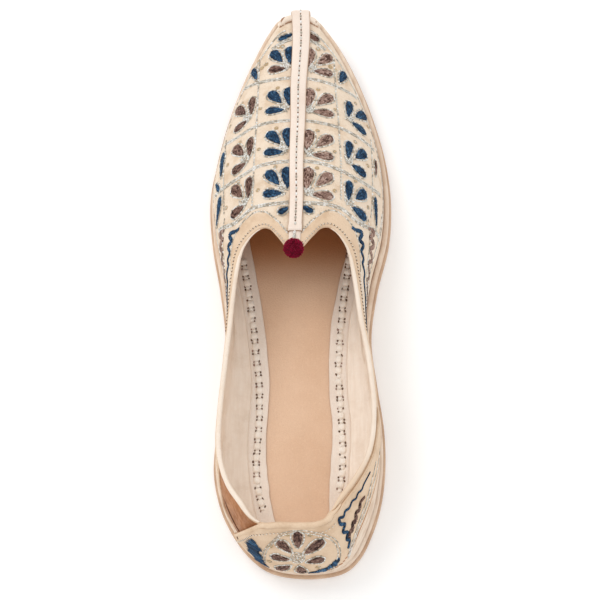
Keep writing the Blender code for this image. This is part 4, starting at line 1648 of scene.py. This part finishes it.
def pricked_lines():
    """Pricked lines along both arches and the counter, each with the width of its holes."""
    lines = []
    for side in (-1, 1):
        chart = [(side_turn(side, d), 2.0 - 1.0 * smoothstep(80, 104, d)) for d in range(76, 175, 3)]
        lines.append((laid(chart, from_edge, 3), 0.85 * MM))
    free_end = [(math.degrees(counter_turn(0.0, climb)) - 2.3, climb) for climb in FREE_END_CLIMBS]
    top = [(degrees, PRICK_CLIMB) for degrees in range(15, -20, -5)]
    lines.append((laid(free_end + top, on_rib, 4), 0.6 * MM))
    return lines


def make_seams():
    """Pricked seams: dark marks of painted shade in the holes, with light thread between."""
    dark, light = Thread((HOLE_SHADE_THREAD,)), Thread((CREAM_THREAD,))
    for line, width in pricked_lines():
        running_line(dark, line, PRICK_PITCH, 0.85 * MM, width, sink=0.2)
        running_line(light, line[1:], PRICK_PITCH, 0.95 * MM, 0.72 * MM, sink=0.05)
    dark.piece("seam_holes")
    light.piece("seam_thread")


# The sole and its rand.
SOLE_TURNS = 180


def sole_loops(profile, reach):
    """Loops of a sole-shaped solid: profile rows are an inset or a function of it, and a height."""
    angles = [reach * step / SOLE_TURNS for step in range(SOLE_TURNS + 1)]
    loops = []
    for inset, height in profile:
        loop = []
        for side, row in ((1, angles), (-1, angles[::-1])):
            for angle in row:
                spot = sole_inset(side * angle, inset(angle) if callable(inset) else inset)
                loop.append(Vector((spot.x, spot.y, height + spring(spot.y))))
        loops.append(loop)
    return loops


def sole_solid(name, profile, look, replaced, reach=math.pi, dyed=()):
    """Solid with a sole's outline, its flat faces filled rung by rung from heel to toe."""
    loops = sole_loops(profile, reach)
    columns = len(loops[0])
    points = [point for loop in loops for point in loop]
    faces = grid_faces(len(loops), columns, close_columns=True)
    for loop, flip in ((0, True), (len(loops) - 1, False)):
        start = loop * columns
        for rung in range(columns // 2 - 1):
            quad = (start + rung, start + rung + 1, start + columns - 2 - rung, start + columns - 1 - rung)
            faces.append(quad[::-1] if flip else quad)
    looks = [1 if number // columns in dyed else 0 for number in range(len(faces))]
    merge_close(new_piece(name, points, faces, [look, EDGE_DYE_AND_SHADOW], replaced, looks))


def merge_close(made, reach=0.00001):
    """Joins the points of a piece that lie on one another and turns its faces outward."""
    build = bmesh.new()
    build.from_mesh(made.data)
    bmesh.ops.remove_doubles(build, verts=build.verts, dist=reach)
    bmesh.ops.recalc_face_normals(build, faces=build.faces)
    build.to_mesh(made.data)
    build.free()
    made.data.shade_smooth()


def make_sole():
    """Outsole and the rand round the midsole. Profile rows go from the bottom to the top face."""
    top = OUTSOLE_THICK
    sole_solid("outsole_leather", [
        (0.0012, 0.0), (0.0005, 0.00012), (0.00012, 0.0005), (0.0, 0.0011),
        (0.00003, 0.0018), (0.00018, 0.0023), (0.0006, top - 0.00012), (0.0013, top), (0.004, top),
    ], SOLE_EDGE, ("outsole",))
    low, high = top + GAP, top + GAP + MIDSOLE_THICK
    sole_solid("rand_leather", [
        (OUTSOLE_LIP + 0.0012, low), (OUTSOLE_LIP + 0.0003, low + 0.0001), (OUTSOLE_LIP, low + 0.0004),
        (OUTSOLE_LIP - 0.00018, low + 0.0018), (OUTSOLE_LIP - 0.00012, low + 0.0028),
        (OUTSOLE_LIP + 0.0001, high - 0.0008), (OUTSOLE_LIP + 0.00045, high - 0.00028),
        (OUTSOLE_LIP + 0.001, high), (OUTSOLE_LIP + 0.0016, high + 0.00004),
        (OUTSOLE_LIP + 0.0021, high - 0.00022), (OUTSOLE_LIP + 0.0026, high - 0.0004),
        (0.0075, high - 0.0004),
    ], RAND, ("midsole",), dyed=(9, 10))


def insole_inset(angle):
    """Distance of the insole's edge from the sole's edge, greater at the toe."""
    toe = smoothstep(math.radians(110), math.pi, angle)
    return FEATHER_INSET + WALL + INSOLE_CLEARANCE + (INSOLE_TOE_INSET - INSOLE_CLEARANCE) * toe


def make_insole():
    top = SEAT + INSOLE_THICK
    sole_solid("insole_leather", [
        (lambda a: insole_inset(a) + 0.0003, SEAT), (insole_inset, SEAT + 0.0003),
        (insole_inset, top - 0.0004), (lambda a: insole_inset(a) + 0.0002, top - 0.0001),
        (lambda a: insole_inset(a) + 0.0006, top), (lambda a: insole_inset(a) + 0.003, top),
    ], INSOLE, ("insole",), reach=math.radians(152))


# Sock border with its lacing, and the lining's foot.
BORDER_REACH = math.radians(108)
BORDER_LOW = SEAT + INSOLE_THICK + GAP
BORDER_TOP = BORDER_LOW + BORDER_THICK


def border_inset(turn):
    """Distance of the border's inner edge from the sole's edge."""
    angle = abs(math.atan2(math.sin(turn), math.cos(turn)))
    return BORDER_INSET * smooth_row(BORDER_LINE, angle / SECTION_STEP)


BORDER_STEPS = 300
BORDER_PROFILE = (
    (0.0, 0.0), (0.0, 0.55), (0.00025, 0.9), (0.0007, 1.0), (0.0026, 1.04), (0.0042, 0.9), (0.0058, 0.92),
    (BORDER_WIDTH - 0.0012, 1.05), (BORDER_WIDTH - 0.0004, 0.95), (BORDER_WIDTH, 0.6), (BORDER_WIDTH, 0.0),
)


def make_border():
    """Sock border round the insole, a little lower where the lacing runs, with brown edges that are partly
    edge dye and partly painted shadow.
    """
    foot = BORDER_LOW - GAP * 0.7
    rows = []
    for step in range(BORDER_STEPS + 1):
        turn = -BORDER_REACH + 2 * BORDER_REACH * step / BORDER_STEPS
        inset = border_inset(turn) + 0.00008 * math.sin(47 * turn)
        row = []
        for away, rise in BORDER_PROFILE:
            spot = sole_inset(turn, inset - away)
            row.append(Vector((spot.x, spot.y, foot + (BORDER_THICK + GAP * 0.7) * rise)))
        rows.append(row)
    points, faces = loft(rows)
    columns = len(BORDER_PROFILE)
    # The brown inner edge is partly edge dye and partly painted shadow where the border lies over the
    # insole.
    looks = [1 if number % columns in (0, columns - 1) else 0 for number in range(BORDER_STEPS * columns)]
    looks += [0, 0]
    finishes = [BORDER, EDGE_DYE_AND_SHADOW]
    merge_close(new_piece(
        "sock_border_leather", points, faces, finishes, ("sock_border",), looks,
    ))


# Middle line of the lacing on the border, seen in plan, in millimetres.
LACING = {
    -1: (
        (-25.8, 12.4), (-23.3, -1.5), (-21.3, -16.3), (-19.1, -35.7), (-17.5, -54.8),
        (-18.2, -73.6), (-18.7, -87.5), (-17.3, -99.1), (-15.0, -108.2),
    ),
    1: (
        (23.4, 17.8), (21.9, 5.3), (20.0, -9.4), (18.6, -26.5), (17.9, -40.9),
        (18.5, -55.2), (19.3, -69.4), (19.7, -83.4), (19.0, -92.6), (17.5, -100.4),
    ),
}
LACE_PITCH = 5.4 * MM
# Length, width and height of the lacing's large and small cushions.
LARGE_CUSHION = (3.5 * MM, 3.2 * MM, 1.1 * MM)
SMALL_CUSHION = (1.7 * MM, 1.9 * MM, 0.6 * MM)
CUSHION_SINK = 0.05 * MM
MISSING_SLITS = 0.12


def on_border(place):
    return Vector((place[0] * MM, place[1] * MM, BORDER_TOP)), Vector((0, 0, 1))


def cushion(points, faces, centre, run, side, size):
    """Small cushion of a strap between two slits, added to the points and faces given."""
    length, width, rise = size
    steps = 8
    first = len(points)
    for row in range(steps + 1):
        u = 2 * row / steps - 1
        for column in range(steps + 1):
            v = 2 * column / steps - 1
            squeeze = math.sqrt(max(1 - 0.28 * v * v, 0.0))
            dome = (max(1 - abs(u) ** 2.6, 0.0) * max(1 - abs(v) ** 2.6, 0.0)) ** 0.5
            points.append(
                centre
                + run * u * length / 2 * squeeze
                + side * v * width / 2 * math.sqrt(max(1 - 0.22 * u * u, 0.0))
                + Vector((0, 0, rise * dome - CUSHION_SINK))
            )
    faces += grid_faces(steps + 1, steps + 1, start=first)


def make_lacing():
    """Strap woven through the border: a large cushion and a small one in turn, with dark slits that are
    painted shadow beside the small cushions.
    """
    points, faces = [], []
    slits = Thread((HOLE_SHADE_THREAD, BROWN_PAINTED_LIGHT), (0.7, 0.3))
    for side in (-1, 1):
        line = with_sides(even(laid(LACING[side], on_border), LACE_PITCH))
        for index, (point, up, across) in enumerate(line[:-1]):
            run = (line[index + 1][0] - point).normalized()
            grow = 1 + jitter(0.07)
            length, width, rise = LARGE_CUSHION
            cushion(points, faces, point, run, across, (length * grow, width, rise))
            between = point + run * LACE_PITCH / 2 + across * jitter(0.15) * MM
            length, width, rise = SMALL_CUSHION
            cushion(points, faces, between, run, across, (length, width * grow, rise))
            # The slits' dark and lighter brown marks are painted shadow either side of the small cushion.
            for hand in (-1, 1):
                for end in (-1, 1):
                    if draw.random() < MISSING_SLITS:
                        continue
                    aside = across * hand * (1.25 + jitter(0.2)) * MM
                    place = between + aside + run * end * 0.72 * MM
                    half = run * draw.uniform(0.45, 0.75) * MM
                    half += across * end * hand * draw.uniform(-0.2, 0.4) * MM
                    width = draw.uniform(0.55, 0.9) * MM
                    slits.stitch(place - half, place + half, up, width, 0.4 * MM, sink=0.1)
    new_piece("sock_lacing", points, faces, LACE)
    slits.piece("lacing_slits")


LINING_FOOT_CLIMB = 0.32


def make_lining_foot():
    """Rounded foot of the lining, from the wall down to the border's outer edge."""
    count, steps = 260, 12
    ground = BORDER_LOW - 0.0002
    low = ground + 0.0006
    rows = []
    for step in range(count + 1):
        turn = -BORDER_REACH + 2 * BORDER_REACH * step / count
        wall = offset_face(turn, LINING_FOOT_CLIMB, wall_depth(turn) - 0.0001)
        base = sole_inset(turn, FEATHER_INSET + WALL + 0.0014)
        end = sole_inset(turn, border_inset(turn) - BORDER_WIDTH + 0.0005)
        fold = 0.00012 * math.sin(49 * turn) + 0.0001 * math.sin(83 * turn + 1)
        row = [Vector((end.x, end.y, ground))]
        for part in range(steps + 1):
            swing = math.pi / 2 * part / steps
            place = end.lerp(Vector((wall.x, wall.y)), math.sin(swing))
            height = low + fold * math.sin(2 * swing) + (wall.z - low) * (1 - math.cos(swing))
            row.append(Vector((place.x, place.y, height)))
        row.append(wall + face_normal(turn, LINING_FOOT_CLIMB) * 0.0004)
        row.append(Vector((base.x, base.y, ground)))
        rows.append(row)
    points, faces = loft(rows)
    merge_close(new_piece("lining_foot", points, faces, LINING))


# Centre strip, toe ears and pompom.
STRIP_START = 0.0103
STRIP_PITCH = 3.05 * MM


def strip_line():
    """Line of the strip's underside from the throat over the toe's tip: along the shoe, and up."""
    start = throat_edge(math.pi, 1.0).y + STRIP_START
    crest_end = HALF_LENGTH - FEATHER_INSET - 0.0015
    count = 90
    line = []
    for step in range(count + 1):
        y = start + (crest_end - start) * step / count
        angle = angle_at(y)
        line.append(Vector((y, SEAT + spring(y) + crest_at(angle) + STRIP_LIFT)))
    rand_tip = HALF_LENGTH - OUTSOLE_LIP + GAP
    ledge = SEAT + spring(HALF_LENGTH)
    foot = OUTSOLE_THICK + GAP + spring(rand_tip)
    top = line[-1]
    bend = [
        Vector(((top.x + 2 * rand_tip) / 3, (top.y + ledge) / 2 + 0.0007)),
        Vector((rand_tip, ledge - 0.0002)),
        Vector((rand_tip, (ledge + foot) / 2)),
        Vector((rand_tip, foot)),
    ]
    fine = spline([line[-2], line[-1]] + bend, 6)
    return line[:-2] + fine


STRIP_NARROW = 0.0058
STRIP_LEAN = 0.0015


def strip_half_width(y):
    """Half width of the strip, which widens towards the toe and at the fold of its rear end."""
    share = min(max(y / HALF_LENGTH, 0.0), 1.0) ** 1.7
    fold = 0.5 * MM * smoothstep(0.0115, 0.0105, y)
    return (STRIP_NARROW + (STRIP_TOE_WIDTH - STRIP_NARROW) * share + fold) / 2


STRIP_PROFILE = (
    (-1.0, 0.25), (-0.97, 0.7), (-0.9, 0.94), (-0.75, 1.06), (-0.4, 1.12), (-0.12, 1.08), (0.0, 1.0),
)


def strip_frames():
    """Rows across the strip: point, direction away from the vamp, half width, middle and angle."""
    line = strip_line()
    frames = []
    for index, point in enumerate(line):
        run = (line[min(index + 4, len(line) - 1)] - line[max(index - 4, 0)]).normalized()
        away = Vector((0.0, -run.y, run.x))
        angle = angle_at(min(point.x, HALF_LENGTH - FEATHER_INSET))
        centre = HALF_BALL * section(angle, "offset") + STRIP_LEAN * smoothstep(0.085, 0.13, point.x)
        frames.append((point, away, strip_half_width(point.x), centre, angle))
    return frames


def strip_spot(frame_row, fraction, rise):
    """Place on the strip at a fraction of its half width and of its thickness."""
    point, away, half, centre, angle = frame_row
    x = centre + half * fraction
    sag = 0.0
    if point.x < HALF_LENGTH - 4 * FEATHER_INSET:
        side = 1.0 if fraction > 0 else -1.0
        sag = SEAT + spring(point.x) + crest_at(angle) - vamp_point(x, point.x, side).z
    return Vector((x, point.x, point.y - sag)) + away * STRIP_THICK * rise


def make_strip():
    """Centre strip with a shallow groove for its stitches."""
    frames = strip_frames()
    upper = list(STRIP_PROFILE) + [(-fraction, rise) for fraction, rise in STRIP_PROFILE[-2::-1]]
    rows = []
    for row in frames:
        top = [strip_spot(row, fraction, rise) for fraction, rise in upper]
        under = [strip_spot(row, fraction, 0.0) for fraction in (0.96, 0.5, 0.0, -0.5, -0.96)]
        rows.append(top + under)
    points, faces = loft(rows, flip=True)
    dyed = [0] * (len(faces) - 2) + [1, 1]
    finishes = [STRIP, EDGE_DYE_AND_SHADOW]
    made = new_piece(
        "centre_strip_leather", points, faces, finishes, ("centre_strip",), dyed,
    )
    merge_close(made, 0.000001)
    stitch_strip(frames)
    edge_strip(frames)


def stitch_strip(frames):
    """Running stitch down the strip's middle: silver on top, and between the stitches a dark mark of painted
    shade where the thread dips in.
    """
    silver, dark = silver_thread(), Thread((HOLE_SHADE_THREAD,))
    line = [(strip_spot(row, 0.0, 1.0), row[1]) for row in frames[2:-3]]
    running_line(silver, line, STRIP_PITCH, 1.75 * MM, 0.95 * MM, wander=0.05 * MM)
    # The dark dips are painted shade where the thread goes into the strip.
    spots = with_sides(even(line, STRIP_PITCH))
    for here, there in zip(spots, spots[1:]):
        run = (there[0] - here[0]).normalized()
        start = here[0] + run * 1.8 * MM
        dark.stitch(start, start + run * 1.15 * MM, here[1], 0.72 * MM, 0.35 * MM, sink=0.2)
    tip = line[-1]
    for step in range(16):
        swing = step * 0.9
        aside = Vector((math.cos(swing) * 0.7, 0.0, 0.0)) * MM
        spot = tip[0] + aside + tip[1] * math.sin(swing) * 0.3 * MM
        back, ahead = Vector((0, -0.5, -0.3)) * MM, Vector((0, 0.5, -0.2)) * MM
        silver.stitch(spot + back, spot + ahead, tip[1], 0.5 * MM)
    silver.piece("strip_thread")
    dark.piece("strip_thread_dips")


def edge_strip(frames):
    """Brown edge of the strip, a thin line on both sides that is partly edge dye and partly painted shadow
    of the gap beside it.
    """
    points, faces = [], []
    for hand in (-1, 1):
        rows = []
        for row in frames:
            rows.append([
                strip_spot(row, hand * fraction, rise)
                for fraction, rise in ((0.95, 0.0), (1.03, 0.05), (1.03, 0.5), (0.99, 0.75), (0.95, 0.3))
            ])
        add_mesh(points, faces, *loft(rows, flip=hand > 0))
    new_piece("strip_edges_dye_and_shadow", points, faces, SOLE_EDGE)


# Rolls of the toe ears: places from the ears' middle in millimetres, radius, lift, look.
EAR_ROLLS = (
    (((3.0, 132.6), (6.3, 131.8), (8.8, 129.6), (9.4, 127.4)), 1.2, 0.1, CREAM),
    # The two thin brown rolls are painted shadow lines: one between the outer and inner cream rolls, one
    # under the inner roll.
    (((3.0, 131.5), (5.8, 130.9), (7.8, 129.3), (8.4, 127.8)), 0.45, 2.9, EDGE_DYE_AND_SHADOW),
    (((3.0, 130.1), (5.8, 129.6), (7.8, 128.2), (8.4, 127.0)), 1.5, 1.2, CREAM),
    (((3.4, 128.4), (5.8, 127.9), (8.4, 126.9), (9.2, 126.3)), 0.3, 0.45, EDGE_DYE_AND_SHADOW),
)
EAR_MIDDLE = -0.0001


def make_toe_ears():
    """Pleats of cream leather, gathered either side of the strip at the toe's tip, with thin brown rolls
    that are painted shadow lines.
    """
    points, faces, looks = [], [], []
    for side in (-1, 1):
        for chart, radius, lift, look in EAR_ROLLS:
            line = []
            for spot in spline([Vector(place) for place in chart], 6):
                x, y = side * spot.x + EAR_MIDDLE / MM, spot.y
                hit, _ = from_above((x, y))
                ground = max(hit.z, SEAT + spring(y * MM))
                line.append(Vector((x * MM, y * MM, ground + (lift - 0.3 * radius) * MM)))
            last = len(line) - 1
            tapers = [0.35 + 0.65 * smoothstep(0.0, 0.35, 1 - step / last) for step in range(last + 1)]
            add_mesh(points, faces, *round_tube(line, [radius * MM * taper for taper in tapers], 12))
            looks += [1 if look is EDGE_DYE_AND_SHADOW else 0] * (len(faces) - len(looks))
    new_piece("toe_ears", points, faces, [CREAM, EDGE_DYE_AND_SHADOW], (), looks)


CORE_RADIUS = 0.86 * POMPOM_RADIUS
CORE_STEPS = 40
LOCKS = 120
LOCK_FIBRES = 34
LOCK_REACH = 0.15


def pompom_centre():
    """Middle of the pompom, which sits on the cusp between the arches."""
    tip = throat_edge(math.pi, 1.0)
    crest = SEAT + crest_at(angle_at(tip.y))
    return Vector((tip.x, tip.y, crest + GAP + POMPOM_RADIUS * POMPOM_FLAT))


def make_pompom_core():
    """Lumpy felted ball under the fibres."""
    centre = pompom_centre()
    points = []
    for row in range(CORE_STEPS // 2 + 1):
        polar = math.pi * row / (CORE_STEPS // 2)
        for column in range(CORE_STEPS):
            around = 2 * math.pi * column / CORE_STEPS
            lump = 1 + 0.03 * math.sin(5 * around + 3 * polar) * math.sin(4 * polar)
            level = math.sin(polar)
            aim = Vector((level * math.cos(around), level * math.sin(around), math.cos(polar) * POMPOM_FLAT))
            points.append(centre + aim * CORE_RADIUS * lump)
    faces = grid_faces(CORE_STEPS // 2 + 1, CORE_STEPS, close_columns=True)
    merge_close(new_piece("pompom_core", points, faces, WOOL_DEEP, ("pompom",)))


def make_pompom_fibres():
    """Short wool fibres in locks, set round the core on a golden spiral."""
    centre = pompom_centre()
    fibres = Thread((WOOL, WOOL_LIGHT, WOOL_DEEP), (0.62, 0.26, 0.12), sides=3)
    golden = math.pi * (3 - math.sqrt(5))
    flat = Matrix.Diagonal((1.0, 1.0, POMPOM_FLAT))
    for number in range(LOCKS):
        z = 1 - 2 * (number + 0.5) / LOCKS
        level = math.sqrt(1 - z * z)
        middle = Vector((level * math.cos(number * golden), level * math.sin(number * golden), z))
        middle = (middle + Vector((jitter(0.07), jitter(0.07), jitter(0.07)))).normalized()
        across = middle.orthogonal().normalized()
        other = middle.cross(across)
        tall = draw.uniform(0.99, 1.06)
        for _ in range(LOCK_FIBRES):
            away = LOCK_REACH * math.sqrt(draw.random())
            swing = draw.uniform(0, 2 * math.pi)
            aside = (across * math.cos(swing) + other * math.sin(swing)) * away
            root = (middle + aside * 0.8).normalized() * CORE_RADIUS * 0.94
            end = (middle + aside * 1.25).normalized() * POMPOM_RADIUS
            end *= tall - 0.12 * (away / LOCK_REACH) ** 2 + jitter(0.025)
            width = draw.uniform(0.14, 0.22) * MM
            fibres.stitch(centre + flat @ root, centre + flat @ end, across, width)
    fibres.piece("pompom_fibres", "crimson_felt")


# The tab starts in front of the throat's tip. Its profile's rows are a fraction across and a rise.
TAB_START = 3.4 * MM
TAB_LENGTH = 8.0 * MM
TAB_STEPS = 12
TAB_NARROWING = 0.84
TAB_PROFILE = (
    (-1.0, 0.1), (-0.95, 0.6), (-0.6, 0.8), (0.0, 0.85), (0.6, 0.8), (0.95, 0.6), (1.0, 0.1), (0.0, 0.0),
)
KNOT_SPAN = (4.6, 9.9)
KNOT_STITCHES = 34


def make_strip_tab():
    """Narrower tab that goes on from the strip's rear end to the pompom."""
    rows = []
    for step in range(TAB_STEPS + 1):
        y = throat_edge(math.pi, 1.0).y + TAB_START + TAB_LENGTH * step / TAB_STEPS
        centre = HALF_BALL * section(angle_at(y), "offset")
        half = strip_half_width(y) * TAB_NARROWING
        row = []
        for fraction, rise in TAB_PROFILE:
            x = centre + half * fraction
            ground = vamp_point(x, y, 1.0 if fraction > 0 else -1.0).z
            row.append(Vector((x, y, ground + STRIP_LIFT + STRIP_THICK * (-0.2 + 0.85 * rise))))
        rows.append(row)
    points, faces = loft(rows, flip=True)
    new_piece("strip_tab", points, faces, STRIP)


def make_pompom_knot():
    """Silver thread that ties the tab to the pompom."""
    silver = silver_thread()
    tip = throat_edge(math.pi, 1.0)
    for _ in range(KNOT_STITCHES):
        x = tip.x / MM + jitter(0.45)
        y = tip.y / MM + draw.uniform(*KNOT_SPAN)
        point, normal = from_above((x, y))
        lift = normal * (1.25 + draw.uniform(0, 0.35)) * MM
        reach = Vector((jitter(0.5), draw.uniform(0.5, 1.1), 0.0)) * MM
        silver.stitch(point + lift - reach, point + lift + reach, normal, 0.42 * MM)
    silver.piece("pompom_knot")


# Floor, light and camera.
def make_floor():
    """Pale floor, which isn't part of the shoe."""
    half = 3.0
    mesh = bpy.data.meshes.new("studio_floor")
    corners = [(-half, -half, 0), (half, -half, 0), (half, half, 0), (-half, half, 0)]
    mesh.from_pydata(corners, [], [(0, 1, 2, 3)])
    made, nodes, links, shader, where = start_finish("pale_floor")
    cloud = noise(nodes, links, where, 3.0, 2.0)
    colour = mix_colours(nodes, links, cloud, tone(249, 249, 249), tone(252, 252, 251))
    links.new(colour, shader.inputs["Base Color"])
    shader.inputs["Roughness"].default_value = 0.9
    shader.inputs["Specular IOR Level"].default_value = 0.1
    shader.inputs["Emission Color"].default_value = tone(250, 250, 252)
    shader.inputs["Emission Strength"].default_value = 0.1
    mesh.materials.append(made)
    floor = bpy.data.objects.new("studio_floor", mesh)
    bpy.context.scene.collection.objects.link(floor)


def soft_light(name, place, aim, size, watts):
    data = bpy.data.lights.new(name, "AREA")
    data.shape = "DISK"
    data.size = size
    data.energy = watts
    lamp = bpy.data.objects.new(name, data)
    lamp.location = place
    lamp.rotation_euler = (Vector(aim) - Vector(place)).to_track_quat("-Z", "Y").to_euler()
    bpy.context.scene.collection.objects.link(lamp)


def make_studio():
    """White surroundings with two soft lights."""
    world = bpy.data.worlds.new("studio")
    world.use_nodes = True
    world.node_tree.nodes["Background"].inputs["Color"].default_value = (1.0, 1.0, 1.0, 1.0)
    world.node_tree.nodes["Background"].inputs["Strength"].default_value = 0.87
    bpy.context.scene.world = world
    bpy.context.scene.view_settings.view_transform = "Standard"
    soft_light("key_softbox", (-0.75, 0.55, 1.5), (0, 0, 0), 0.8, 8.0)
    soft_light("fill_softbox", (0.9, -0.5, 1.3), (0, 0, 0), 1.2, 1.5)


CAMERA_PLACE = (0.0426, -0.3773, 0.9272)
CAMERA_AIM = (0.0, -0.0027, 0.0)
SHOE_TURN = math.radians(0.7)
CAMERA_LENS = 130.0


def make_camera():
    """Camera where the photograph's stands over its left shoe, turned to that shoe's middle."""
    data = bpy.data.cameras.new("photo_camera")
    data.sensor_width = 36.0
    data.lens = CAMERA_LENS
    camera = bpy.data.objects.new("photo_camera", data)
    place = Vector(CAMERA_PLACE)
    ahead = (Vector((place.x, CAMERA_AIM[1], 0.0)) - place).normalized()
    across = Vector((1.0, 0.0, 0.0))
    held = Matrix((across, across.cross(ahead), -ahead)).transposed()
    pan = ahead.rotation_difference((Vector(CAMERA_AIM) - place).normalized()).to_matrix()
    to_shoe = Matrix.Rotation(-SHOE_TURN, 3, "Z")
    camera.location = to_shoe @ place
    camera.rotation_euler = (to_shoe @ pan @ held).to_euler()
    bpy.context.scene.collection.objects.link(camera)
    bpy.context.scene.camera = camera


make_camera()
make_studio()
make_floor()
make_sole()
make_upper()
make_counter()
make_piping("topline_piping_left", -1, 19.5)
make_piping("topline_piping_right", 1, 20)
make_insole()
make_border()
make_lacing()
make_lining_foot()
make_strip()
make_bare_leather()
make_seams()
make_embroidery()
make_toe_ears()
make_pompom_core()
make_pompom_fibres()
make_strip_tab()
make_pompom_knot()


def plain(box):
    return [[round(float(value), 5) for value in corner] for corner in box]
